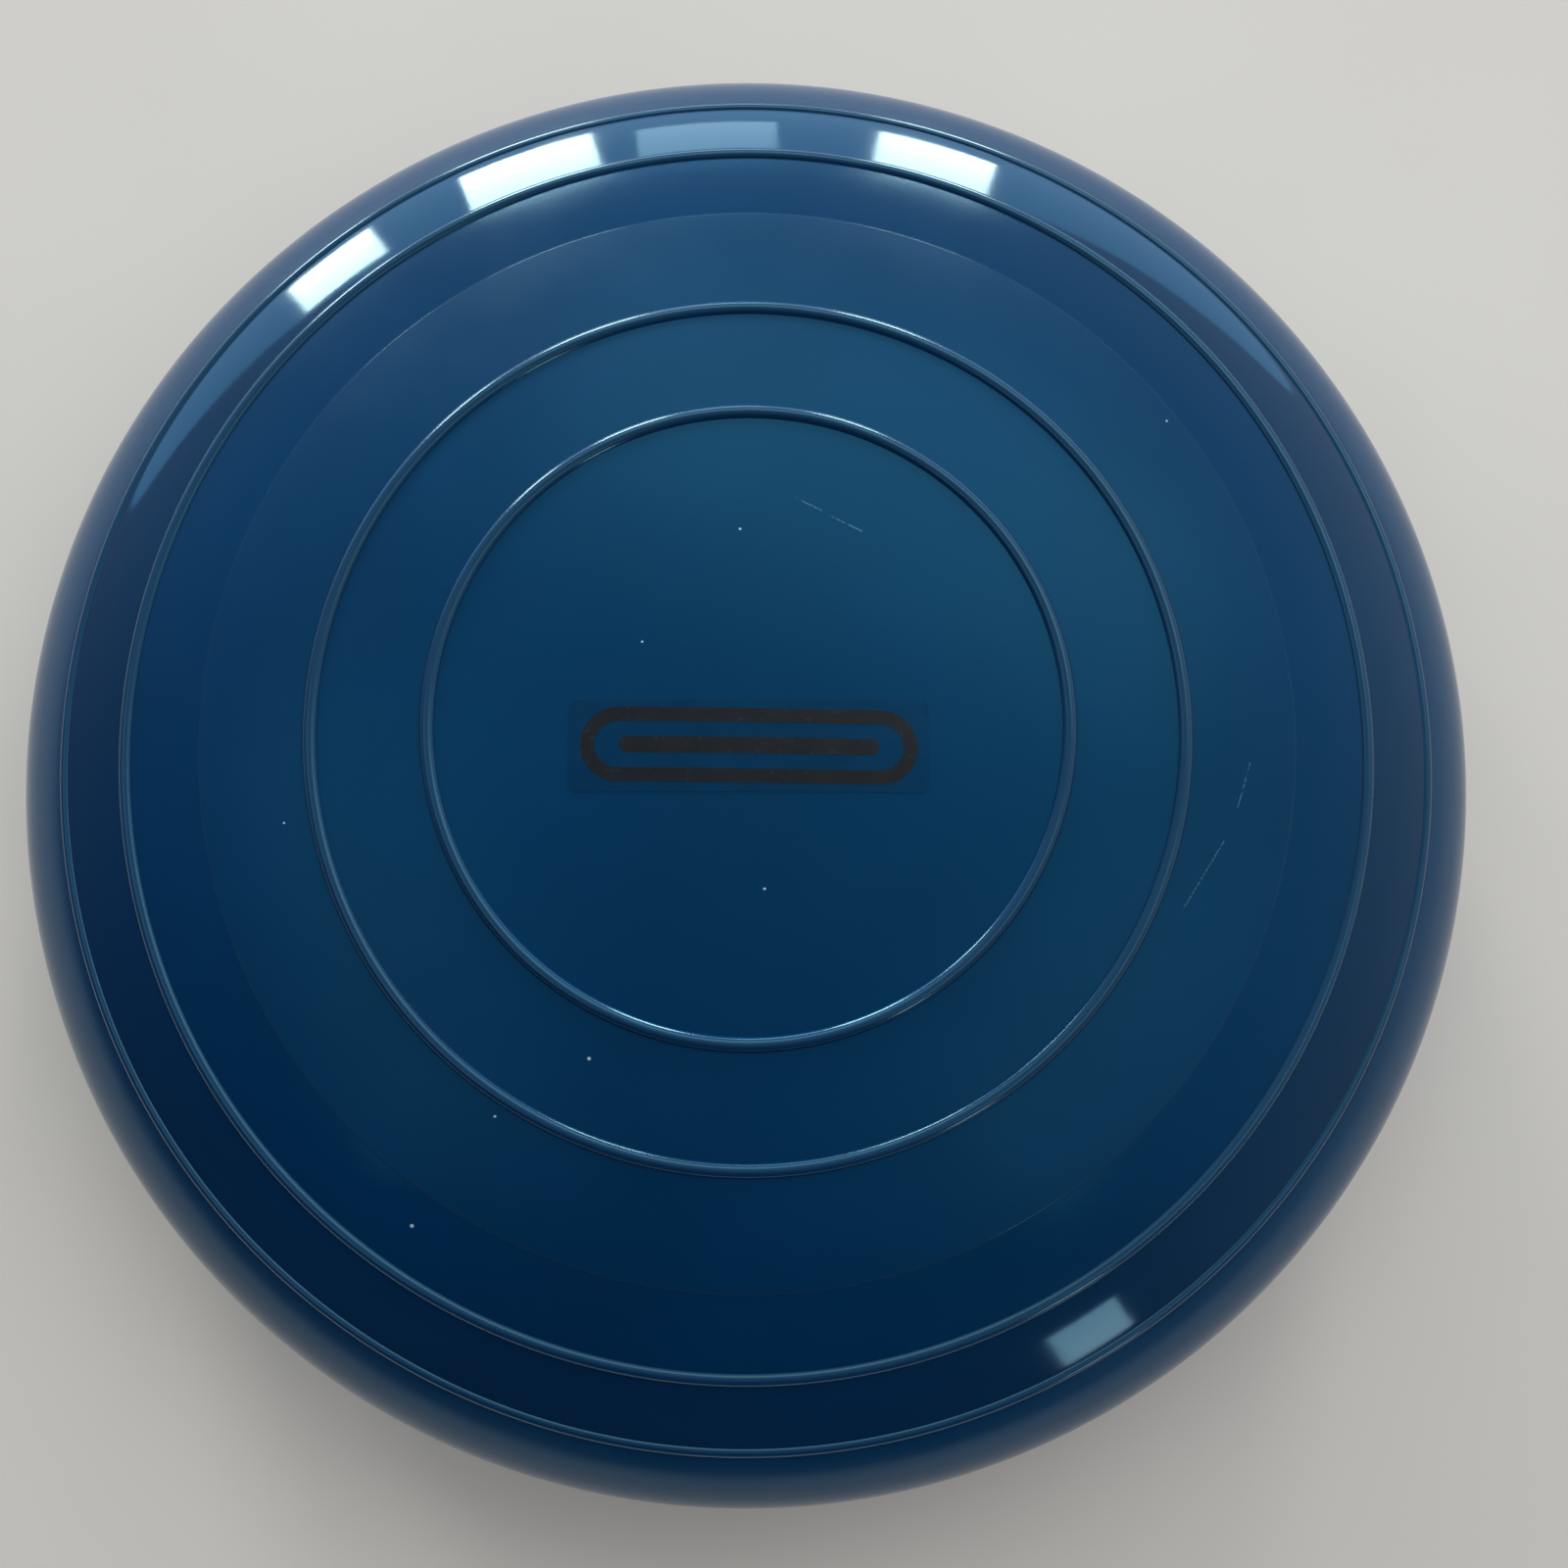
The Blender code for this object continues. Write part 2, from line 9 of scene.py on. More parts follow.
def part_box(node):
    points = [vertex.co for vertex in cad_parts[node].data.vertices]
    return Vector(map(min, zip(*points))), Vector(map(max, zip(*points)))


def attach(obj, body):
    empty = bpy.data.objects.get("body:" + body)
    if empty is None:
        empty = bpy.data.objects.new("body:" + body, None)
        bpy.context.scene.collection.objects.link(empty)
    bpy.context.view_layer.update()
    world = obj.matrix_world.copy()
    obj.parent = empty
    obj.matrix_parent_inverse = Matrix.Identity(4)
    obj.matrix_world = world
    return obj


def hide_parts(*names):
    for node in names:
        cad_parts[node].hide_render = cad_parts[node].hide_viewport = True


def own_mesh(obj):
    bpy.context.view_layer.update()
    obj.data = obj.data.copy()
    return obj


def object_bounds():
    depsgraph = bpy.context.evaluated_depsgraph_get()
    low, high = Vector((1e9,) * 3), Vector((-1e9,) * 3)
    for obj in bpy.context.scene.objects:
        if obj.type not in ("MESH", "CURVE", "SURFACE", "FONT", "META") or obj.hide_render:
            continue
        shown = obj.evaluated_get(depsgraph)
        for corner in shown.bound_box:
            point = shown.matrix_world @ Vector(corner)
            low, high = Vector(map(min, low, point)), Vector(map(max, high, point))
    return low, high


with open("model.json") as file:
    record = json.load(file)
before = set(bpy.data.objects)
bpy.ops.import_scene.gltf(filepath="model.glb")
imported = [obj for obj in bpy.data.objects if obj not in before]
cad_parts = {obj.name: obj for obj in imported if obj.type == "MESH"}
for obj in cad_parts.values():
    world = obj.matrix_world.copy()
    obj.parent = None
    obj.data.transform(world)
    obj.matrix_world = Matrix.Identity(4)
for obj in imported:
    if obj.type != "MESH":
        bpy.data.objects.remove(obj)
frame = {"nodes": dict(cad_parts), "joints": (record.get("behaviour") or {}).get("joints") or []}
CAD_LOW, CAD_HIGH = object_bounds()


def reach(node, low, high):
    """The largest distance from the Z axis of a CAD node's points between two heights."""
    points = [vertex.co for vertex in frame["nodes"][node].data.vertices]
    return max(math.hypot(p.x, p.y) for p in points if low <= p.z <= high)


def joint(name):
    """The frame's joint of that name."""
    return next(j for j in frame["joints"] if j["name"] == name)


# The dome's measures, in metres
GAP = 0.0003
WALL = 0.004
RADIUS = CAD_HIGH.x
BELLY_Z = joint("dome_press")["deforming_nodes"][0]["fixed_end_z_m"]
CROWN_STEP = 0.0005
CROWN_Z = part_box("dome_bladder")[1].z
RISE = CROWN_Z - CROWN_STEP - BELLY_Z
LIP_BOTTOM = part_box("dome_bladder")[0].z
LIP_TOP = LIP_BOTTOM + WALL
LIP_RADIUS = reach("dome_bladder", LIP_BOTTOM - GAP, LIP_TOP + GAP)
LIP_WIDTH = 0.009
NECK_RADIUS = LIP_RADIUS - LIP_WIDTH
NECK_HEIGHT = 0.003
FLANK_DEPTH = BELLY_Z - LIP_TOP - NECK_HEIGHT
NECK_ROUND = 0.0012
LIP_ROUND = 0.0010
SEGMENTS = 360

# The ring beads: the radius of each, its width and its height, and the step between crown and slope
BEADS = (
    (0.397 * RADIUS, 0.0056, 0.0020),
    (0.547 * RADIUS, 0.0056, 0.0020),
    (0.804 * RADIUS, 0.0050, 0.0018),
    (0.9015 * RADIUS, 0.0036, 0.0012),
)
BEAD_FOOT = 0.0003
BEAD_CLEAR = 0.0004
STEP_RADIUS = 0.696 * RADIUS
STEP_WIDTH = 0.0004
STEP_CLEAR = 0.0006

# The crown's film and the ring and bar printed on it
FILM_SIZE = (0.132, 0.034)
FILM_CORNER = 0.003
FILM_CENTRE = Vector((0.0, -0.011))
FILM_LAYER = (0.00005, 0.00022)
PRINT_SIZE = (0.1235, 0.0275)
PRINT_STROKE = 0.0052
BAR_SIZE = (0.0950, 0.0060)
PRINT_LAYER = (0.00024, 0.00030)
PRINT_TURN = math.radians(-0.7)

# The platform's shells
DECK_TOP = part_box("deck_plate")[1].z
FLANGE_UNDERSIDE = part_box("deck_plate")[0].z
FLANGE_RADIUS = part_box("deck_plate")[1].x
DECK_THICKNESS = 0.003
DECK_ROUND = 0.0010
TRAY_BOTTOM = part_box("base_tray")[0].z
TRAY_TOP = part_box("base_tray")[1].z
TRAY_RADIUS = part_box("base_tray")[1].x
TRAY_FOOT_RADIUS = 0.266
TRAY_FLOOR = 0.003
TRAY_SEAM = 0.0008
TRAY_SHOULDER = ((0.0, 0.0), (0.0022, 0.0006), (0.0037, 0.0024))
TRAY_FOOT_BEVEL = ((0.0052, 0.0050), (0.0036, 0.0018), (0.0, 0.0))
TRAY_ROUND = 0.0016
CAVITY_RADIUS = 0.267
HALF_STEP = Matrix.Rotation(math.pi / SEGMENTS, 4, "Z")

# The clamp ring
RING_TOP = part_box("rim_ring")[1].z
RING_INNER_RADIUS = 0.2745
RING_CREST_RADIUS = 0.2885
RING_CLEARANCE = 0.0011
RING_NOSE = 0.0018
RING_SHOULDER = (0.0010, 0.0008)
RING_SIDE_DROP = 0.0025
GROOVE_DEPTH = 0.0006
GROOVE_MOUTH = 0.0007
GROOVE_FLOOR = 0.0003
RING_ROUND = 0.0005

# Screws, feet, ribs and the fields in the underside
RING_SCREWS = sorted(n for n in frame["nodes"] if n.startswith("ring_screw"))
DECK_SCREWS = sorted(n for n in frame["nodes"] if n.startswith("deck_screw"))
FEET = sorted(n for n in frame["nodes"] if n.startswith("foot_"))
SCREW_HOLE_RADIUS = 0.0022
SHANK_RADIUS = SCREW_HOLE_RADIUS - GAP
SCREW_TIP_RADIUS = 0.0010
SCREW_TIP_LENGTH = 0.0015
PAN_HEAD_RADIUS = 0.0036
PAN_HEAD_ROUND = 0.0011
CROSS_HALF_SIZE = (0.0021, 0.0004)
CROSS_DEPTH = 0.0012
CROSS_TURN = 0.3
COUNTERBORE_DEPTH = 0.0035
COUNTERBORE_CHAMFER = 0.0004
COUNTERSINK_RADIUS = 0.0042
COUNTERSINK_DEPTH = 0.0020
HEAD_SUNK = 0.0004
BOSS_RADIUS = 0.006
BOSS_HOLE_BOTTOM = 0.022
RIB_THICKNESS = 0.003
RIB_CIRCLES = (0.100, 0.190)
RIB_TURNS = [math.radians(15 + 60 * i) for i in range(6)]
RIB_INNER = 0.020
ROOM_SEGMENTS = 200
ROOM_TURN = Matrix.Rotation(0.004, 4, "Z")
PANELS = ((0.034, 0.094), (0.106, 0.184))
PANEL_DEPTH = 0.0011
PANEL_DRAFT = 0.0008
PANEL_BAR = 0.014
BAR_INNER = 0.010
FOOT_RADIUS = 0.016
FOOT_HEIGHT = 0.0045
FOOT_HOLE_RADIUS = 0.0040
FOOT_ROUND = 0.0006
FOOT_TAPER = 0.0003
FOOT_EDGE = (0.0018, 0.0012)
BARB_RADIUS = 0.005
BARB_TIP = 0.002
BARB_LENGTH = 0.005
TREAD_GROOVES = (0.0122, 0.0092, 0.0062, 0.0032)
TREAD_MOUTH = 0.0006
TREAD_FLOOR = 0.0004
TREAD_DEPTH = 0.0008

# The two finger recesses
GRIP_INNER_X = 0.240
GRIP_HALF_WIDTH = 0.050
GRIP_TOP = 0.0262
GRIP_CORNER = 0.010
GRIP_WALL = 0.0035

# The valve and its plug
VALVE_TURN = math.radians(40)
VALVE_BORE = 0.0042
VALVE_NECK = 0.0060
VALVE_FLANGE = 0.0075
VALVE_FLANGE_THICKNESS = 0.0012
VALVE_PAD_RADIUS = 0.009
VALVE_PAD_PROUD = 0.0008
VALVE_PAD_ROOT = 0.75 * WALL
VALVE_PAD_ROUND = 0.0005
VALVE_GRIP = 0.0064
VALVE_LENGTH = 0.0094
VALVE_BARB_RADIUS = 0.0076
VALVE_ROUND = 0.0004
PLUG_HEAD_RADIUS = 0.0056
PLUG_HEAD_THICKNESS = 0.0011
PLUG_TIP_RADIUS = 0.0026
PLUG_TIP_LENGTH = 0.0030
PLUG_DISH = (0.0030, 0.0036)
PLUG_DISH_DEPTH = 0.0005
PLUG_SHORT = 0.001

# How far a cutter reaches past what it cuts, and how far the floor reaches
CUT_PAST = 0.010
FLOOR_REACH = 20.0


# ---------------------------------------------------------------- meshes


def finished(name, cage, paint, sharp=40):
    """An object with that bmesh, smooth except where faces meet at more than sharp degrees."""
    bmesh.ops.recalc_face_normals(cage, faces=cage.faces)
    mesh = bpy.data.meshes.new(name)
    cage.to_mesh(mesh)
    cage.free()
    if paint:
        mesh.materials.append(paint)
    mesh.shade_smooth()
    mesh.set_sharp_from_angle(angle=math.radians(sharp))
    piece = bpy.data.objects.new(name, mesh)
    bpy.context.scene.collection.objects.link(piece)
    return piece


def turned(name, outline, paint, segments=SEGMENTS, loop=False, place=None):
    """A solid turned about Z from (radius, height) points that run down its outer side."""
    cage = bmesh.new()
    rings = []
    for r, z in outline:
        count = 1 if r < 1e-7 else segments
        turns = [math.tau * i / segments for i in range(count)]
        rings.append([cage.verts.new((r * math.cos(a), r * math.sin(a), z)) for a in turns])
    pairs = list(zip(rings, rings[1:]))
    if loop:
        pairs.append((rings[-1], rings[0]))
    for upper, lower in pairs:
        for i in range(segments if len(upper) + len(lower) > 2 else 0):
            j = i + 1
            corners = [(upper, i), (lower, i), (lower, j), (upper, j)]
            face = dict.fromkeys(ring[k % len(ring)] for ring, k in corners)
            cage.faces.new(face)
    if place:
        bmesh.ops.transform(cage, matrix=place, verts=cage.verts)
    return finished(name, cage, paint)


def rounded(outline, radius, steps=4, loop=False):
    """The outline with each of its corners off the axis turned into a short curve."""
    points = [Vector(p) for p in outline]
    count = len(points)
    soft = []
    for i, corner in enumerate(points):
        inner = loop or 0 < i < count - 1
        if not inner or corner.x < 1e-7:
            soft.append(tuple(corner))
            continue
        ends = []
        for other in (points[i - 1], points[(i + 1) % count]):
            side = other - corner
            ends.append(corner + side.normalized() * min(radius, 0.45 * side.length))
        for k in range(steps + 1):
            t = k / steps
            bend = ends[0] * (1 - t) ** 2 + corner * 2 * t * (1 - t) + ends[1] * t**2
            soft.append(tuple(bend))
    return soft


def cylinder(name, radius, low, high, place, segments=32):
    """A cutter: a cylinder along its own Z axis."""
    return turned(name, [(0, high), (radius, high), (radius, low), (0, low)], None, segments, place=place)


def block(name, low, high, place, corner=0.0):
    """A cutter: a box whose upright edges may be rounded, moved to place."""
    cage = bmesh.new()
    bmesh.ops.create_cube(cage, size=1.0)
    size = Vector(high) - Vector(low)
    bmesh.ops.scale(cage, vec=size, verts=cage.verts)
    bmesh.ops.translate(cage, vec=Vector(low) + size / 2, verts=cage.verts)
    upright = [e for e in cage.edges if abs(e.verts[0].co.z - e.verts[1].co.z) > size.z / 2]
    if corner:
        bmesh.ops.bevel(cage, geom=upright, offset=corner, segments=8, profile=0.5, affect="EDGES")
    bmesh.ops.transform(cage, matrix=place, verts=cage.verts)
    return finished(name, cage, None)


def carved(piece, operation, cutters, keep_cutters=False):
    """Applies a Boolean of the piece with each of the cutters, which are then removed or kept."""
    for cutter in cutters:
        boolean = piece.modifiers.new(cutter.name, "BOOLEAN")
        boolean.operation = operation
        boolean.object = cutter
        boolean.solver = "EXACT"
    bpy.context.view_layer.update()
    graph = bpy.context.evaluated_depsgraph_get()
    mesh = bpy.data.meshes.new_from_object(piece.evaluated_get(graph), depsgraph=graph)
    piece.modifiers.clear()
    mesh.shade_smooth()
    mesh.set_sharp_from_angle(angle=math.radians(30))
    piece.data = mesh
    if not keep_cutters:
        for cutter in cutters:
            bpy.data.objects.remove(cutter)
    return piece


def spots(nodes):
    """A matrix at the axis of each of these CAD nodes, on the floor, with X pointing outwards."""
    for name in nodes:
        low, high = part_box(name)
        middle = (low + high) / 2
        turn = Matrix.Rotation(math.atan2(middle.y, middle.x), 4, "Z")
        yield Matrix.Translation((middle.x, middle.y, 0)) @ turn


def dome_height(r):
    """Height of the smooth dome, half an ellipsoid, at radius r."""
    return BELLY_Z + RISE * math.sqrt(max(0.0, 1 - (r / RADIUS) ** 2))


def on_dome(r, proud):
    """The point that stands proud of the smooth dome at radius r."""
    normal = Vector((r / RADIUS**2, (dome_height(r) - BELLY_Z) / RISE**2)).normalized()
    return (r + proud * normal.x, dome_height(r) + proud * normal.y)


def on_flank(turn, depth=0.0):
    """The point of the tucked-in flank below the belly, depth inside its surface."""
    spread = RADIUS - NECK_RADIUS
    r = NECK_RADIUS + spread * math.cos(turn)
    z = BELLY_Z - FLANK_DEPTH * math.sin(turn)
    normal = Vector((math.cos(turn) / spread, -math.sin(turn) / FLANK_DEPTH)).normalized()
    return (r - depth * normal.x, z - depth * normal.y)


def relief(r):
    """How far the moulding stands proud of the smooth dome: the crown's step and the ring beads."""
    t = min(1.0, max(0.0, (r - STEP_RADIUS) / STEP_WIDTH))
    height = CROWN_STEP * (1 - t * t * (3 - 2 * t))
    for centre, width, proud in BEADS:
        arc = (width**2 / 4 + proud**2) / (2 * proud)
        off = abs(r - centre)
        if off < width / 2:
            height += math.sqrt(arc**2 - off**2) - (arc - proud)
    return height


def dome_outline():
    """The outer surface from the crown to the belly, finely divided at the beads and the step."""
    radii = {RADIUS * math.sin(math.radians(a)) for a in range(0, 80, 1)}
    radii |= {RADIUS * math.sin(math.radians(80 + a / 2)) for a in range(20)}
    for centre, width, _ in BEADS:
        radii = {r for r in radii if abs(r - centre) > width / 2 + BEAD_CLEAR}
        radii |= {centre + width / 2 * math.sin(math.radians(a)) for a in range(-90, 91, 10)}
        radii |= {centre - width / 2 - BEAD_FOOT, centre + width / 2 + BEAD_FOOT}
    radii = {r for r in radii if not -STEP_CLEAR < r - STEP_RADIUS < 2 * STEP_WIDTH}
    radii |= {STEP_RADIUS + STEP_WIDTH * k / 6 for k in range(-1, 8)}
    return [on_dome(r, relief(r)) for r in sorted(radii)] + [(RADIUS, BELLY_Z)]


# ---------------------------------------------------------------- materials


class Paint:
    """A procedural material, made node by node round one Principled shader."""

    def __init__(self, name, roughness, **settings):
        self.material = bpy.data.materials.new(name)
        self.material.use_nodes = True
        self.tree = self.material.node_tree
        self.shader = self.tree.nodes["Principled BSDF"]
        self.shader.inputs["Roughness"].default_value = roughness
        for socket, value in settings.items():
            self.shader.inputs[socket.replace("_", " ")].default_value = value
        self.place = self.tree.nodes.new("ShaderNodeTexCoord").outputs["Object"]

    def node(self, kind, inputs, output=None, **settings):
        """A new node's output of that name or number, or else its first. Inputs are sockets or values."""
        made = self.tree.nodes.new(kind)
        for name, value in settings.items():
            setattr(made, name, value)
        for key, value in inputs.items():
            if isinstance(value, bpy.types.NodeSocket):
                self.tree.links.new(value, made.inputs[key])
            else:
                made.inputs[key].default_value = value
        return next(o for o in made.outputs if o.enabled) if output is None else made.outputs[output]

    def calc(self, operation, a, b):
        """The sum or product of two numbers."""
        return self.node("ShaderNodeMath", {0: a, 1: b}, operation=operation)

    def vector(self, operation, inputs, output=None):
        """The vector that an operation on vectors gives, or its output of that name."""
        return self.node("ShaderNodeVectorMath", inputs, output, operation=operation)

    def total(self, *values):
        """The sum of any count of numbers."""
        result = values[0]
        for value in values[1:]:
            result = self.calc("ADD", result, value)
        return result

    def noise(self, scale, detail=2.0):
        """Cloudy noise round 0.5."""
        return self.node("ShaderNodeTexNoise", {"Vector": self.place, "Scale": scale, "Detail": detail})

    def ramp(self, value, low, high, start=0.0, end=1.0):
        """value between low and high, smoothly turned into start to end."""
        span = {"Value": value, "From Min": low, "From Max": high, "To Min": start, "To Max": end}
        return self.node("ShaderNodeMapRange", span, interpolation_type="SMOOTHSTEP")

    def blend(self, share, first, second):
        """A colour: first where share is 0, second where it is 1. The Mix node's colours are 6 and 7."""
        start, end = (c if isinstance(c, bpy.types.NodeSocket) else (*c, 1.0) for c in (first, second))
        return self.node("ShaderNodeMix", {0: share, 6: start, 7: end}, 2, data_type="RGBA")

    def set(self, socket, value):
        """Drives one of the shader's inputs."""
        self.tree.links.new(value, self.shader.inputs[socket])

    def bump(self, height, depth):
        """Relief in the material, depth metres from the lowest to the highest."""
        inputs = {"Height": height, "Strength": 1.0, "Distance": depth}
        self.set("Normal", self.node("ShaderNodeBump", inputs))

    def from_above(self):
        """The place on the object, without its height."""
        return self.vector("MULTIPLY", {0: self.place, 1: (1, 1, 0)})

    def radius(self):
        """Distance from the Z axis."""
        return self.vector("LENGTH", {0: self.from_above()}, "Value")

    def near_line(self, start, end, width):
        """1 on a thin line from start to end, seen from above, fading to 0 over its width."""
        start, end = Vector((*start, 0)), Vector((*end, 0))
        way = end - start
        along = self.vector("SUBTRACT", {0: self.from_above(), 1: start})
        share = self.vector("DOT_PRODUCT", {0: along, 1: way / way.length**2}, "Value")
        foot = self.vector("SCALE", {0: way, "Scale": self.node("ShaderNodeClamp", {0: share})})
        off = self.vector("DISTANCE", {0: along, 1: foot}, "Value")
        return self.ramp(off, 0.3 * width, width, 1.0, 0.0)


# The blues of the crown and slope, the band, the skirt below it and the beads, with tints for the gloss
DEEP_BLUE = (0.0004, 0.0270, 0.0960)
# The band's blue is darker than the crown's: painted shade.
BAND_BLUE_PAINTED_SHADE = (0.0004, 0.0215, 0.0780)
# The skirt's lighter blue is a painted reflection of the floor on the steep skirt.
SKIRT_BLUE_PAINTED_REFLECTION = (0.0006, 0.0390, 0.1200)
BLUE_GLOSS = (0.12, 0.66, 0.92, 1.0)
CLEAR_GLOSS = (0.30, 0.78, 0.96, 1.0)
BEAD_BLUE = (0.0006, 0.0260, 0.0900)
BEAD_GLOSS = (0.34, 0.82, 1.0, 1.0)
CLOUDS_BRIGHTER = 1.16
SCRATCH_BLUE = (0.08, 0.16, 0.24)
LINT = (0.50, 0.68, 0.78)

# Scratches run from a point to a point of the dome seen from above, and have a width. Specks have a size.
SCRATCHES = (
    ((0.017, 0.084), (0.027, 0.079), 0.0004),
    ((0.030, 0.077), (0.042, 0.071), 0.0004),
    ((0.190, -0.013), (0.184, -0.031), 0.0003),
    ((0.178, -0.044), (0.161, -0.070), 0.0003),
)
SPECK_LENGTH = 0.0002
SPECKS = (
    ((-0.0574, -0.1240), 0.0008),
    ((-0.0917, -0.1448), 0.0006),
    ((-0.1233, -0.1850), 0.0009),
    ((0.0057, -0.0633), 0.0006),
    ((-0.0037, 0.0714), 0.0006),
    ((-0.0396, 0.0278), 0.0005),
    ((-0.1729, -0.0379), 0.0005),
    ((0.1635, 0.1225), 0.0005),
)


def dome_paint(name, blue, tint):
    """Deep blue PVC with a few scratches and specks of lint.

    It is satin on the crown, smoother on the slope, glossy between the two outer beads and a
    little duller outside them.
    """
    paint = Paint(name, 0.3, IOR=1.5, Specular_Tint=tint)
    radius = paint.radius()
    ridge, outer = BEADS[2][0], BEADS[3][0]
    satin = paint.ramp(radius, STEP_RADIUS, STEP_RADIUS + 0.002, 0.29, 0.135)
    gloss = paint.ramp(radius, ridge - 0.0005, ridge + 0.0010, 0.0, -0.075)
    skirt = paint.ramp(radius, outer, outer + 0.0020, 0.0, 0.10)
    mottle = paint.ramp(paint.noise(28.0, 4.0), 0.3, 0.7, -0.015, 0.02)
    paint.set("Roughness", paint.total(satin, gloss, skirt, mottle))

    cloud = paint.ramp(paint.noise(9.0, 3.0), 0.3, 0.7)
    colour = paint.blend(cloud, blue, tuple(c * CLOUDS_BRIGHTER for c in blue))
    # Outside the outer bead the blue turns lighter: a painted reflection of the floor.
    colour = paint.blend(paint.ramp(radius, outer, outer + 0.006), colour, SKIRT_BLUE_PAINTED_REFLECTION)
    scratched = paint.total(*(paint.near_line(*scratch) for scratch in SCRATCHES))
    broken = paint.ramp(paint.noise(900.0), 0.38, 0.55)
    colour = paint.blend(paint.calc("MULTIPLY", scratched, broken), colour, SCRATCH_BLUE)
    specks = [paint.near_line((x, y), (x + SPECK_LENGTH, y), size) for (x, y), size in SPECKS]
    paint.set("Base Color", paint.blend(paint.total(*specks), colour, LINT))

    coarse = paint.ramp(radius, ridge, ridge + 0.001, 1.0, 0.15)
    grain = paint.calc("MULTIPLY", paint.noise(850.0, 2.0), coarse)
    waves = paint.calc("MULTIPLY", paint.noise(60.0, 2.0), 0.6)
    paint.bump(paint.total(grain, waves), 0.00002)
    return paint.material


def bead_paint():
    """The same PVC on the beads and on the step's edge, rubbed smoother than the crown."""
    paint = Paint("dome_bead_paint", 0.14, IOR=1.72, Specular_Tint=BEAD_GLOSS)
    cloud = paint.ramp(paint.noise(9.0, 3.0), 0.3, 0.7)
    brighter = tuple(c * CLOUDS_BRIGHTER for c in BEAD_BLUE)
    paint.set("Base Color", paint.blend(cloud, BEAD_BLUE, brighter))
    paint.set("Roughness", paint.ramp(paint.noise(28.0, 4.0), 0.3, 0.7, 0.12, 0.16))
    paint.bump(paint.noise(850.0), 0.00001)
    return paint.material


def film_paint():
    """The clear film, faintly clouded over the blue."""
    paint = Paint("film_paint", 0.24, IOR=1.5, Specular_Tint=BLUE_GLOSS)
    cloud = paint.ramp(paint.noise(40.0, 3.0), 0.3, 0.7)
    paint.set("Base Color", paint.blend(cloud, (0.0010, 0.0215, 0.0760), (0.0012, 0.0250, 0.0880)))
    paint.set("Roughness", paint.ramp(paint.noise(120.0), 0.3, 0.7, 0.22, 0.30))
    paint.bump(paint.noise(500.0), 0.00002)
    return paint.material


def print_paint():
    """Near-black ink, slightly worn."""
    paint = Paint("print_paint", 0.3, IOR=1.36)
    worn = paint.ramp(paint.noise(420.0, 5.0), 0.60, 0.72)
    paint.set("Base Color", paint.blend(worn, (0.0030, 0.0075, 0.0120), (0.0040, 0.0180, 0.0380)))
    paint.set("Roughness", paint.ramp(paint.noise(90.0), 0.3, 0.7, 0.26, 0.36))
    paint.bump(paint.noise(700.0), 0.00002)
    return paint.material


def plastic_paint(name, colour, roughness, grain):
    """Moulded plastic with a spark-eroded grain, slightly rubbed."""
    paint = Paint(name, roughness, IOR=1.49)
    rub = paint.ramp(paint.noise(55.0, 5.0), 0.46, 0.74)
    paint.set("Base Color", paint.blend(rub, colour, tuple(c * 1.35 + 0.002 for c in colour)))
    paint.set("Roughness", paint.ramp(paint.noise(35.0, 4.0), 0.3, 0.7, roughness - 0.07, roughness + 0.07))
    paint.bump(paint.total(paint.noise(1600.0, 2.0), paint.noise(420.0)), grain)
    return paint.material


def rubber_paint():
    """Black rubber with dust in its pores."""
    paint = Paint("rubber_paint", 0.85, IOR=1.5)
    dust = paint.ramp(paint.noise(130.0, 6.0), 0.50, 0.75)
    paint.set("Base Color", paint.blend(dust, (0.012, 0.012, 0.012), (0.060, 0.056, 0.050)))
    paint.set("Roughness", paint.ramp(dust, 0.0, 1.0, 0.74, 0.92))
    paint.bump(paint.noise(1100.0, 3.0), 0.00006)
    return paint.material


def steel_paint():
    """Zinc plating with faint swirls and dull spots."""
    paint = Paint("steel_paint", 0.3, Metallic=1.0)
    dull = paint.ramp(paint.noise(260.0, 5.0), 0.45, 0.70)
    paint.set("Base Color", paint.blend(dull, (0.60, 0.60, 0.61), (0.36, 0.36, 0.35)))
    paint.set("Roughness", paint.ramp(dull, 0.0, 1.0, 0.24, 0.46))
    paint.bump(paint.noise(1800.0, 2.0), 0.00002)
    return paint.material


# ---------------------------------------------------------------- pieces


def pressed(piece, slot, *nodes):
    """Makes a piece of the dome's upper half ride on the platform, with a mesh of its own, and hides the
    CAD nodes it replaces.
    """
    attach(piece, "platform")
    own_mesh(piece)
    if nodes:
        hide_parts(*nodes)


def make_dome_cap(paint, band_paint, ridge_paint):
    """The bladder above its belly, with the paint of the beads and of the band outside them."""
    inside = [RADIUS * math.sin(math.radians(a)) for a in range(88, 0, -4)]
    inner = [(RADIUS - WALL, BELLY_Z)] + [on_dome(r, -WALL) for r in inside if r < 0.995 * RADIUS]
    cap = turned("dome_cap", dome_outline() + inner + [on_dome(0.0, -WALL)], paint)
    cap.data.materials.append(band_paint)
    cap.data.materials.append(ridge_paint)
    for face in cap.data.polygons:
        r = face.center.xy.length
        on_ridge = any(abs(r - centre) < width / 2 for centre, width, _ in BEADS)
        on_ridge = on_ridge or 0 < r - STEP_RADIUS < STEP_WIDTH
        face.material_index = 2 if on_ridge else int(r > BEADS[2][0])
    pressed(cap, "dome_pvc", "dome_bladder")


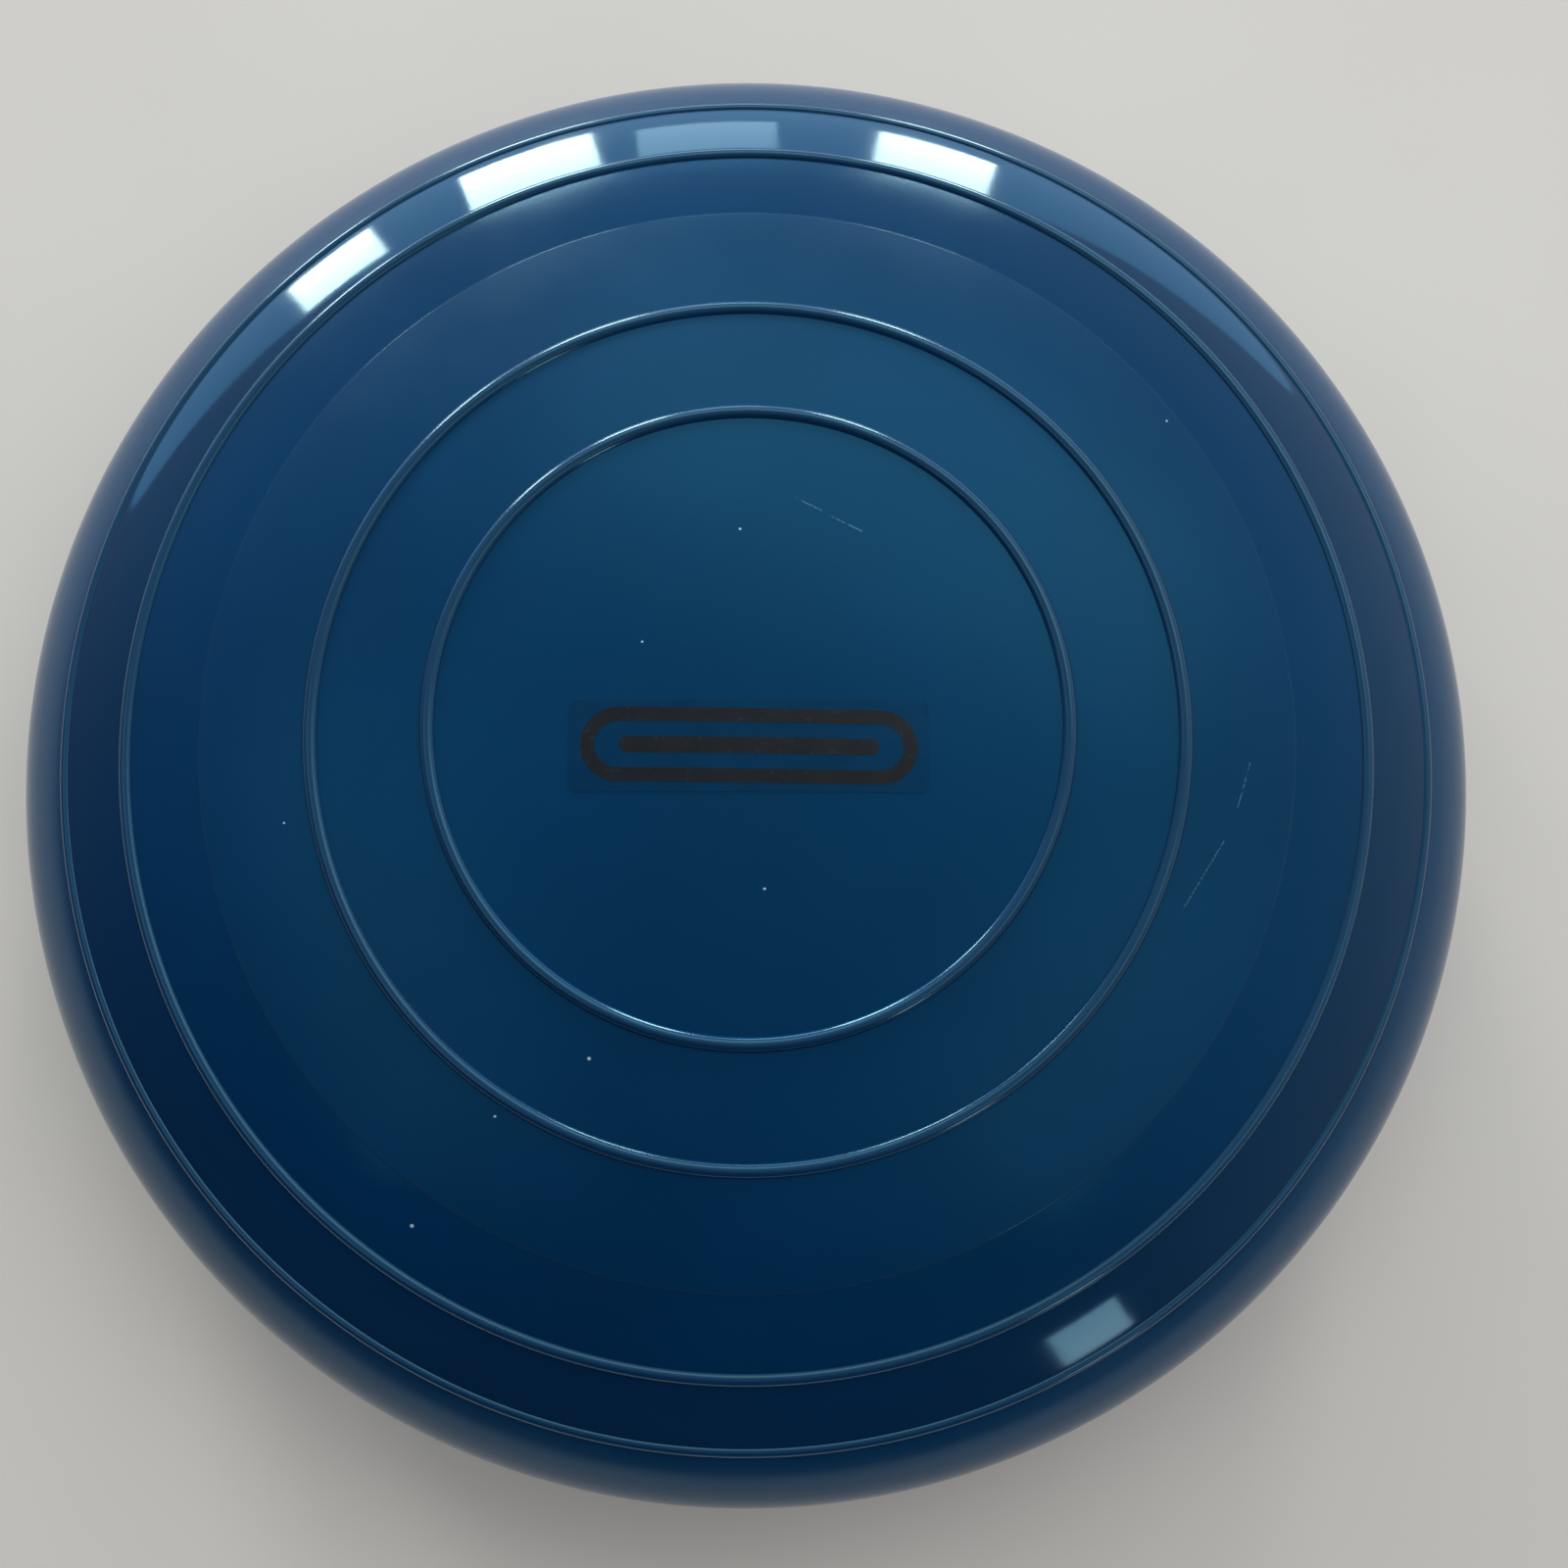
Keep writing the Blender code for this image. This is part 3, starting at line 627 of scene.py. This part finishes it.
def make_dome_flank(paint):
    """The bladder below its belly: the tucked-in flank, the neck, the lip and the floor."""
    outside = [(RADIUS, BELLY_Z)] + [on_flank(math.radians(a)) for a in range(3, 91, 3)]
    root, edge = (NECK_RADIUS, LIP_TOP), (LIP_RADIUS, LIP_TOP)
    neck = rounded([outside[-1], root, edge], NECK_ROUND)[1:-1]
    lip = rounded([root, edge, (LIP_RADIUS, LIP_BOTTOM), (0, LIP_BOTTOM)], LIP_ROUND)
    inside = [on_flank(math.radians(a), WALL) for a in range(84, 0, -6)]
    bend = NECK_RADIUS - WALL
    inside = [(r, z) for r, z in inside if r > bend]
    floor = [(0, LIP_TOP), (bend, LIP_TOP), (bend, LIP_TOP + 1.4 * WALL)]
    outline = outside + neck + lip[1:] + floor + inside + [(RADIUS - WALL, BELLY_Z)]
    flank = turned("dome_flank", outline, paint, loop=True)
    place = valve_place()
    side = [(VALVE_PAD_RADIUS, VALVE_PAD_PROUD), (VALVE_PAD_RADIUS, -VALVE_PAD_ROOT)]
    section = rounded([(0, VALVE_PAD_PROUD), *side, (0, -VALVE_PAD_ROOT)], VALVE_PAD_ROUND)
    pad = turned("valve_pad", section, None, 64, place=place)
    carved(flank, "UNION", [pad])
    hole = cylinder("valve_hole", VALVE_NECK + GAP, -2 * CUT_PAST, CUT_PAST, place, 48)
    carved(flank, "DIFFERENCE", [hole])
    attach(flank, "platform")


def stadium(size, corner, steps=16):
    """Half the outline of a rectangle with round corners: for each height y, its half length there."""
    length, width = size[0] / 2, size[1] / 2
    rows = []
    for k in range(steps + 1):
        turn = math.pi / 2 * k / steps
        rows.append((corner * math.sin(turn) + width - corner, length - corner * (1 - math.cos(turn))))
    straight = [(y, length) for y in (0.0, 0.25, 0.5, 0.75)] if width > corner * 1.01 else []
    upper = [(y * (width - corner) if y < 1 else y, x) for y, x in straight] + rows
    return [(-y, x) for y, x in reversed(upper) if y > 0] + upper


def on_crown(x, y, proud):
    """The point proud of the crown above (x, y)."""
    r = math.hypot(x, y)
    out, z = on_dome(r, CROWN_STEP + proud)
    return (x * out / r, y * out / r, z) if r else (0, 0, z)


def crown_sheet(name, rows, layer, paint, turn=0.0, closed=False):
    """A thin sheet that follows the crown. Rows hold (x, y) points round FILM_CENTRE."""
    cage = bmesh.new()
    spin = Matrix.Rotation(turn, 2)
    low, high = layer
    below, upper = {}, []
    for row in rows:
        upper.append([])
        for point in row:
            x, y = spin @ Vector(point) + FILM_CENTRE
            top = cage.verts.new(on_crown(x, y, high))
            below[top] = cage.verts.new(on_crown(x, y, low))
            upper[-1].append(top)
        if closed:
            upper[-1].append(upper[-1][0])
    for first, second in zip(upper, upper[1:]):
        for i in range(len(first) - 1):
            cage.faces.new((first[i], first[i + 1], second[i + 1], second[i]))
    edges = [edge.verts[:] for edge in cage.edges if edge.is_boundary]
    for face in cage.faces[:]:
        cage.faces.new([below[v] for v in reversed(face.verts[:])])
    for a, b in edges:
        cage.faces.new((a, b, below[b], below[a]))
    return finished(name, cage, paint, 30)


def filled_rows(size, corner, columns=60):
    """Rows of points that fill a rectangle with round corners."""
    shares = [2 * i / columns - 1 for i in range(columns + 1)]
    return [[(x * share, y) for share in shares] for y, x in stadium(size, corner)]


def ring_rows(size, stroke, steps=48, pieces=24):
    """Closed rows of points, from the outer edge of a ring with round ends to its inner edge."""
    length, radius = size[0] / 2, size[1] / 2
    rows = []
    for share in (0.0, 0.5, 1.0):
        reach_out = radius - stroke * share
        row = []
        for i in range(steps + 1):
            turn = math.pi * i / steps - math.pi / 2
            row.append((length - radius + reach_out * math.cos(turn), reach_out * math.sin(turn)))
        straight = [(length - radius) * (1 - 2 * i / pieces) for i in range(1, pieces)]
        row += [(x, reach_out) for x in straight]
        row += [(-x, -y) for x, y in row]
        rows.append(row)
    return rows


def make_mark(film, ink):
    """A thin film on the crown with a bar inside a ring with round ends printed on it."""
    sheet = crown_sheet("mark_film", filled_rows(FILM_SIZE, FILM_CORNER), FILM_LAYER, film)
    pressed(sheet, "mark_film", "crown_mark")
    ring = crown_sheet("mark_ring", ring_rows(PRINT_SIZE, PRINT_STROKE), PRINT_LAYER, ink, PRINT_TURN, True)
    pressed(ring, "mark_film")
    bar = crown_sheet("mark_bar", filled_rows(BAR_SIZE, BAR_SIZE[1] / 2), PRINT_LAYER, ink, PRINT_TURN)
    pressed(bar, "mark_film")


def make_clamp_ring(paint):
    """The ring follows the flank above it and holds the lip in a rebate below it."""
    clear, rebate = LIP_TOP + GAP, LIP_RADIUS + 2 * GAP
    groove = (RING_TOP + LIP_BOTTOM) / 2
    section = [(RING_INNER_RADIUS, clear + RING_NOSE)]
    section += [on_flank(math.radians(a), -RING_CLEARANCE) for a in (73, 68, 63)]
    section += [
        (RING_CREST_RADIUS, RING_TOP),
        (FLANGE_RADIUS - RING_SHOULDER[0], RING_TOP - RING_SHOULDER[1]),
        (FLANGE_RADIUS, RING_TOP - RING_SIDE_DROP),
        (FLANGE_RADIUS, groove + GROOVE_MOUTH),
        (FLANGE_RADIUS - GROOVE_DEPTH, groove + GROOVE_FLOOR),
        (FLANGE_RADIUS - GROOVE_DEPTH, groove - GROOVE_FLOOR),
        (FLANGE_RADIUS, groove - GROOVE_MOUTH),
        (FLANGE_RADIUS, LIP_BOTTOM),
        (rebate, LIP_BOTTOM),
        (rebate, clear),
        (RING_INNER_RADIUS, clear),
    ]
    section = rounded(section, RING_ROUND, 3, loop=True)
    ring = turned("clamp_ring", section, paint, loop=True, place=HALF_STEP)
    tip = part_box(RING_SCREWS[0])[1].z + GAP
    holes = [
        cylinder(f"ring_hole_{i}", SCREW_HOLE_RADIUS, LIP_BOTTOM - CUT_PAST, tip, place)
        for i, place in enumerate(spots(RING_SCREWS))
    ]
    carved(ring, "DIFFERENCE", holes)
    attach(ring, "platform")
    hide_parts("rim_ring")


def make_deck(paint):
    """The upper shell: a flat deck with a thick flange that laps round the tray's wall."""
    inside = TRAY_RADIUS + GAP
    below = DECK_TOP - DECK_THICKNESS
    outline = [(0, DECK_TOP), (FLANGE_RADIUS, DECK_TOP), (FLANGE_RADIUS, FLANGE_UNDERSIDE)]
    outline += [(inside, FLANGE_UNDERSIDE), (inside, below), (0, below)]
    deck = turned("deck_shell", rounded(outline, DECK_ROUND), paint, place=HALF_STEP)
    bore_top = FLANGE_UNDERSIDE + COUNTERBORE_DEPTH
    bore = PAN_HEAD_RADIUS + GAP
    mouth = bore + COUNTERBORE_CHAMFER
    above, under = DECK_TOP + CUT_PAST, FLANGE_UNDERSIDE - CUT_PAST
    stepped = [(0, above), (SCREW_HOLE_RADIUS, above), (SCREW_HOLE_RADIUS, bore_top), (bore, bore_top)]
    stepped += [(bore, FLANGE_UNDERSIDE + COUNTERBORE_CHAMFER), (mouth, FLANGE_UNDERSIDE)]
    stepped += [(mouth, under), (0, under)]
    sunk = [(0, above), (COUNTERSINK_RADIUS, above), (COUNTERSINK_RADIUS, DECK_TOP)]
    sunk += [(SCREW_HOLE_RADIUS, DECK_TOP - COUNTERSINK_DEPTH), (SCREW_HOLE_RADIUS, under), (0, under)]
    holes = []
    for section, nodes in ((stepped, RING_SCREWS), (sunk, DECK_SCREWS)):
        for name, place in zip(nodes, spots(nodes)):
            holes.append(turned(f"hole_{name}", section, None, 32, place=place))
    carved(deck, "DIFFERENCE", holes)
    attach(deck, "platform")
    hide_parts("deck_plate")


def radial_bars(name, start, end, width, low, high):
    """Bars along the ribs' directions."""
    bars = []
    for i, turn in enumerate(RIB_TURNS):
        place = Matrix.Rotation(turn, 4, "Z")
        bars.append(block(f"{name}_{i}", (start, -width / 2, low), (end, width / 2, high), place))
    return bars


def tray_rooms():
    """The hollows between the tray's ribs, less its bosses and the walls of the finger recesses."""
    low, high = TRAY_BOTTOM, TRAY_TOP + 2 * CUT_PAST
    kept = radial_bars("rib", RIB_INNER, CAVITY_RADIUS + CUT_PAST / 2, RIB_THICKNESS, low, high)
    for i, place in enumerate(spots(DECK_SCREWS)):
        kept.append(cylinder(f"boss_{i}", BOSS_RADIUS, low, high, place))
    half = GRIP_HALF_WIDTH + GRIP_WALL
    for side in (0, 1):
        start = (GRIP_INNER_X - GRIP_WALL, -half, low)
        end = (CAVITY_RADIUS + CUT_PAST, half, high)
        kept.append(block(f"wall_{side}", start, end, Matrix.Rotation(side * math.pi, 4, "Z"), GRIP_WALL))
    floor, over = TRAY_BOTTOM + TRAY_FLOOR, TRAY_TOP + CUT_PAST
    bounds = [0.0, *RIB_CIRCLES, CAVITY_RADIUS + RIB_THICKNESS / 2]
    rooms = []
    for i, (start, end) in enumerate(zip(bounds, bounds[1:])):
        inner, outer = start + RIB_THICKNESS / 2, end - RIB_THICKNESS / 2
        section = [(inner, over), (outer, over), (outer, floor), (inner, floor)]
        if not start:
            section = [(0, over), (outer, over), (outer, floor), (0, floor)]
        room = turned(f"room_{i}", section, None, ROOM_SEGMENTS, start > 0, ROOM_TURN)
        rooms.append(carved(room, "DIFFERENCE", kept, keep_cutters=True))
    for cutter in kept:
        bpy.data.objects.remove(cutter)
    return rooms


def underside_panels():
    """Shallow fields in the underside of the tray's floor, between six bars."""
    low, high = TRAY_BOTTOM - CUT_PAST, TRAY_BOTTOM + PANEL_DEPTH
    reach_out = PANELS[-1][1] + CUT_PAST
    bars = radial_bars("bar", BAR_INNER, reach_out, PANEL_BAR, low - CUT_PAST, high + CUT_PAST)
    fields = []
    for i, (start, end) in enumerate(PANELS):
        section = [(start + PANEL_DRAFT, high), (end - PANEL_DRAFT, high), (end, TRAY_BOTTOM), (end, low)]
        section += [(start, low), (start, TRAY_BOTTOM)]
        field = turned(f"field_{i}", section, None, ROOM_SEGMENTS, True, ROOM_TURN)
        fields.append(carved(field, "DIFFERENCE", bars, keep_cutters=True))
    for cutter in bars:
        bpy.data.objects.remove(cutter)
    return fields


def make_tray(paint):
    """The lower shell: a ribbed drum with a finger recess on each side."""
    shoulder = FLANGE_UNDERSIDE - TRAY_SEAM
    outline = [(0, TRAY_TOP), (TRAY_RADIUS, TRAY_TOP)]
    outline += [(TRAY_RADIUS - inwards, shoulder - down) for inwards, down in TRAY_SHOULDER]
    outline += [(TRAY_FOOT_RADIUS + outwards, TRAY_BOTTOM + up) for outwards, up in TRAY_FOOT_BEVEL]
    outline.append((0, TRAY_BOTTOM))
    tray = turned("tray_shell", rounded(outline, TRAY_ROUND), paint, place=HALF_STEP)
    cutters = tray_rooms() + underside_panels()
    above = TRAY_TOP + CUT_PAST
    for side in (0, 1):
        low = (GRIP_INNER_X, -GRIP_HALF_WIDTH, -CUT_PAST)
        high = (FLANGE_RADIUS + CUT_PAST, GRIP_HALF_WIDTH, GRIP_TOP)
        turn = Matrix.Rotation(side * math.pi, 4, "Z")
        cutters.append(block(f"grip_{side}", low, high, turn, GRIP_CORNER))
    for i, place in enumerate(spots(DECK_SCREWS)):
        cutters.append(cylinder(f"boss_hole_{i}", SCREW_HOLE_RADIUS, BOSS_HOLE_BOTTOM, above, place))
    for i, place in enumerate(spots(FEET)):
        cutters.append(cylinder(f"foot_hole_{i}", FOOT_HOLE_RADIUS, -CUT_PAST, 2 * CUT_PAST, place))
    carved(tray, "DIFFERENCE", cutters)
    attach(tray, "platform")
    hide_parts("base_tray")


def make_ring_screws(paint):
    """Pan head screws with a cross recess, seen in the flange's underside."""
    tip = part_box(RING_SCREWS[0])[1].z
    head_low, head_high = FLANGE_UNDERSIDE + HEAD_SUNK, FLANGE_UNDERSIDE + COUNTERBORE_DEPTH - GAP
    head = [(PAN_HEAD_RADIUS, head_high), (PAN_HEAD_RADIUS, head_low), (0, head_low)]
    outline = [(0, tip), (SCREW_TIP_RADIUS, tip), (SHANK_RADIUS, tip - SCREW_TIP_LENGTH)]
    outline.append((SHANK_RADIUS, head_high))
    outline += rounded([outline[-1], *head], PAN_HEAD_ROUND, 5)[1:]
    across, half_width = CROSS_HALF_SIZE
    low, high = head_low - CUT_PAST, head_low + CROSS_DEPTH
    for name, place in zip(RING_SCREWS, spots(RING_SCREWS)):
        screw = turned(f"{name}_body", outline, paint, 40, place=place)
        slots = []
        for i in (0, 1):
            turn = place @ Matrix.Rotation(i * math.pi / 2 + CROSS_TURN, 4, "Z")
            start, end = (-across, -half_width, low), (across, half_width, high)
            slots.append(block(f"slot_{i}", start, end, turn))
        carved(screw, "DIFFERENCE", slots)
        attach(screw, "platform")
        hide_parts(name)


def make_feet(paint):
    """Rubber pads with grooves in their tread and a barbed stem that snaps through the tray's floor."""
    inside, stem = TRAY_BOTTOM + TRAY_FLOOR + GAP, FOOT_HOLE_RADIUS - GAP
    upper = [(0, inside + BARB_LENGTH), (BARB_TIP, inside + BARB_LENGTH), (BARB_RADIUS, inside)]
    upper += [(stem, inside), (stem, FOOT_HEIGHT)]
    side = [(FOOT_RADIUS, FOOT_HEIGHT), (FOOT_RADIUS - FOOT_TAPER, FOOT_EDGE[1])]
    side.append((FOOT_RADIUS - FOOT_EDGE[0], 0.0))
    outline = rounded(upper + side, FOOT_ROUND)
    for groove in TREAD_GROOVES:
        outline += [(groove + TREAD_MOUTH, 0.0), (groove + TREAD_FLOOR, TREAD_DEPTH)]
        outline += [(groove - TREAD_FLOOR, TREAD_DEPTH), (groove - TREAD_MOUTH, 0.0)]
    outline.append((0, 0.0))
    for name, place in zip(FEET, spots(FEET)):
        foot = turned(f"{name}_pad", outline, paint, 64, place=place)
        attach(foot, "platform")
        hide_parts(name)


def valve_place():
    """A matrix on the flank, on the -Y side, whose Z axis points out of the bladder."""
    r, z = on_flank(VALVE_TURN)
    inner_r, inner_z = on_flank(VALVE_TURN, 1.0)
    turn = Vector((0, inner_r - r, z - inner_z)).to_track_quat("Z", "X").to_matrix().to_4x4()
    return Matrix.Translation((0, -r, z)) @ turn


def make_valve(tube_paint, plug_paint):
    """The valve tube, held by a flange on each side of the bladder's wall, and its plug."""
    place = valve_place()
    face = VALVE_PAD_PROUD + GAP
    top = face + VALVE_FLANGE_THICKNESS
    outline = [
        (VALVE_BORE, top),
        (VALVE_FLANGE, top),
        (VALVE_FLANGE, face),
        (VALVE_NECK, face),
        (VALVE_NECK, -VALVE_GRIP),
        (VALVE_BARB_RADIUS, -VALVE_GRIP),
        (VALVE_NECK, -VALVE_LENGTH),
        (VALVE_BORE, -VALVE_LENGTH),
    ]
    tube = turned("valve_tube", rounded(outline, VALVE_ROUND, loop=True), tube_paint, 96, True, place)
    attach(tube, "platform")
    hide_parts("valve_insert")

    seat = top + GAP
    crest = seat + PLUG_HEAD_THICKNESS
    stem, tip = VALVE_BORE - GAP, PLUG_SHORT - VALVE_LENGTH - PLUG_TIP_LENGTH
    outline = [
        (0, crest - PLUG_DISH_DEPTH),
        (PLUG_DISH[0], crest - PLUG_DISH_DEPTH),
        (PLUG_DISH[1], crest),
        (PLUG_HEAD_RADIUS, crest),
        (PLUG_HEAD_RADIUS, seat),
        (stem, seat),
        (stem, tip + PLUG_TIP_LENGTH),
        (PLUG_TIP_RADIUS, tip),
        (0, tip),
    ]
    plug = turned("valve_stopper", rounded(outline, VALVE_ROUND), plug_paint, 96, place=place)
    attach(plug, "plug")
    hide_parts("valve_plug")


def make_floor():
    """A plain pale floor, a hair below the feet."""
    cage = bmesh.new()
    bmesh.ops.create_grid(cage, x_segments=2, y_segments=2, size=FLOOR_REACH)
    bmesh.ops.translate(cage, vec=(0, 0, -GAP), verts=cage.verts)
    paint = Paint("floor_paint", 0.9, IOR=1.4)
    shade = paint.ramp(paint.noise(3.0, 3.0), 0.3, 0.7)
    paint.set("Base Color", paint.blend(shade, (0.775, 0.745, 0.700), (0.805, 0.775, 0.730)))
    floor = finished("studio_floor", cage, paint.material)


# ---------------------------------------------------------------- light and camera

DOME_MIDDLE = Vector((0, 0, 0.13))
WINDOW_SIDE = (0.42, 0.90, 0.10)
WINDOW_LIGHT = (1.0, 0.96, 0.88)
CAMERA_PLACE = Vector((0.0174, -0.3542, 2.1734))
CAMERA_TURNS = (math.radians(-0.77), math.radians(8.16))


def softbox(
    name, azimuth, elevation, distance, width, height, radiance, colour=(1, 1, 1), shape="RECTANGLE"
):
    """A flat light at angles and a distance from DOME_MIDDLE, which it faces. Azimuth 0 is towards +Y."""
    turn, rise = math.radians(azimuth), math.radians(elevation)
    way = Vector((math.sin(turn) * math.cos(rise), math.cos(turn) * math.cos(rise), math.sin(rise)))
    light = bpy.data.lights.new(name, "AREA")
    light.shape = shape
    light.size, light.size_y = width, height
    area = width * height * (math.pi / 4 if shape == "ELLIPSE" else 1)
    light.energy = radiance * math.pi * area
    light.color = colour
    lamp = bpy.data.objects.new(name, light)
    lamp.location = DOME_MIDDLE + way * distance
    lamp.rotation_euler = way.to_track_quat("Z", "Y").to_euler()
    bpy.context.scene.collection.objects.link(lamp)


def make_lights():
    """Windows and a blue-grey wall beyond +Y, one window on the near side, and soft light from above."""
    softbox("far_window_left", -36, 8, 6.0, 0.85, 1.3, 21, WINDOW_LIGHT)
    softbox("far_window_middle", -18.5, 9.5, 6.0, 1.15, 1.65, 21, WINDOW_LIGHT)
    softbox("far_window_right", 14.5, 10.5, 6.0, 1.0, 1.5, 21, WINDOW_LIGHT)
    softbox("far_curtain", -4, 10, 6.2, 1.2, 1.1, 3.6, (0.80, 0.92, 1.0))
    softbox("far_wall", -6, 9, 6.6, 19.0, 2.3, 1.7, (0.24, 0.62, 1.0), "ELLIPSE")
    softbox("near_window", 146, 20, 6.0, 0.75, 1.1, 5.0, (0.93, 0.94, 1.0))
    softbox("overhead_far", 22, 56, 4.0, 4.4, 1.7, 1.2)
    softbox("overhead_right", 118, 56, 4.0, 2.4, 1.5, 0.6)
    softbox("overhead_left", 255, 56, 4.0, 3.0, 1.5, 0.5)
    world = bpy.data.worlds.new("studio")
    world.use_nodes = True
    tree = world.node_tree
    way = tree.nodes.new("ShaderNodeTexCoord").outputs["Generated"]
    facing = tree.nodes.new("ShaderNodeVectorMath")
    facing.operation = "DOT_PRODUCT"
    facing.inputs[1].default_value = WINDOW_SIDE
    tree.links.new(way, facing.inputs[0])
    glow = tree.nodes.new("ShaderNodeMapRange")
    glow.interpolation_type = "SMOOTHSTEP"
    tree.links.new(facing.outputs["Value"], glow.inputs["Value"])
    for name, value in {"From Min": -0.8, "From Max": 1.0, "To Min": 0.06, "To Max": 0.80}.items():
        glow.inputs[name].default_value = value
    tree.links.new(glow.outputs["Result"], tree.nodes["Background"].inputs["Strength"])
    tree.nodes["Background"].inputs["Color"].default_value = (0.96, 0.98, 1.0, 1)
    bpy.context.scene.world = world


def make_camera():
    """Almost straight above, a little towards -Y. CAMERA_PLACE is in dome radii from the belly."""
    lens = bpy.data.cameras.new("camera")
    lens.sensor_width = 36
    lens.lens = 36
    camera = bpy.data.objects.new("camera", lens)
    camera.location = CAMERA_PLACE * RADIUS + Vector((0, 0, BELLY_Z))
    sideways, forwards = CAMERA_TURNS
    turn = Matrix.Rotation(sideways, 4, "Y") @ Matrix.Rotation(forwards, 4, "X")
    camera.rotation_euler = turn.to_euler()
    bpy.context.scene.collection.objects.link(camera)
    bpy.context.scene.camera = camera


def paint_nodes(paint, *names):
    """Gives CAD nodes that stay visible a better material."""
    for name in names:
        slots = frame["nodes"][name].data.materials
        slots.clear()
        slots.append(paint)


make_camera()
make_lights()
make_floor()
bpy.context.scene.view_settings.view_transform = "Standard"

# The band's paint takes the darker band blue, which is painted shade.
BAND = dome_paint("dome_band_paint", BAND_BLUE_PAINTED_SHADE, CLEAR_GLOSS)
BLACK = plastic_paint("platform_paint", (0.020, 0.021, 0.023), 0.50, 0.00005)
STEEL = steel_paint()
make_dome_cap(dome_paint("dome_crown_paint", DEEP_BLUE, BLUE_GLOSS), BAND, bead_paint())
make_dome_flank(BAND)
make_mark(film_paint(), print_paint())
make_clamp_ring(BLACK)
make_deck(BLACK)
make_tray(BLACK)
make_ring_screws(STEEL)
make_feet(rubber_paint())
make_valve(
    plastic_paint("valve_paint", (0.012, 0.013, 0.015), 0.42, 0.00003),
    plastic_paint("plug_paint", (0.62, 0.62, 0.59), 0.42, 0.00003),
)
paint_nodes(STEEL, *DECK_SCREWS)
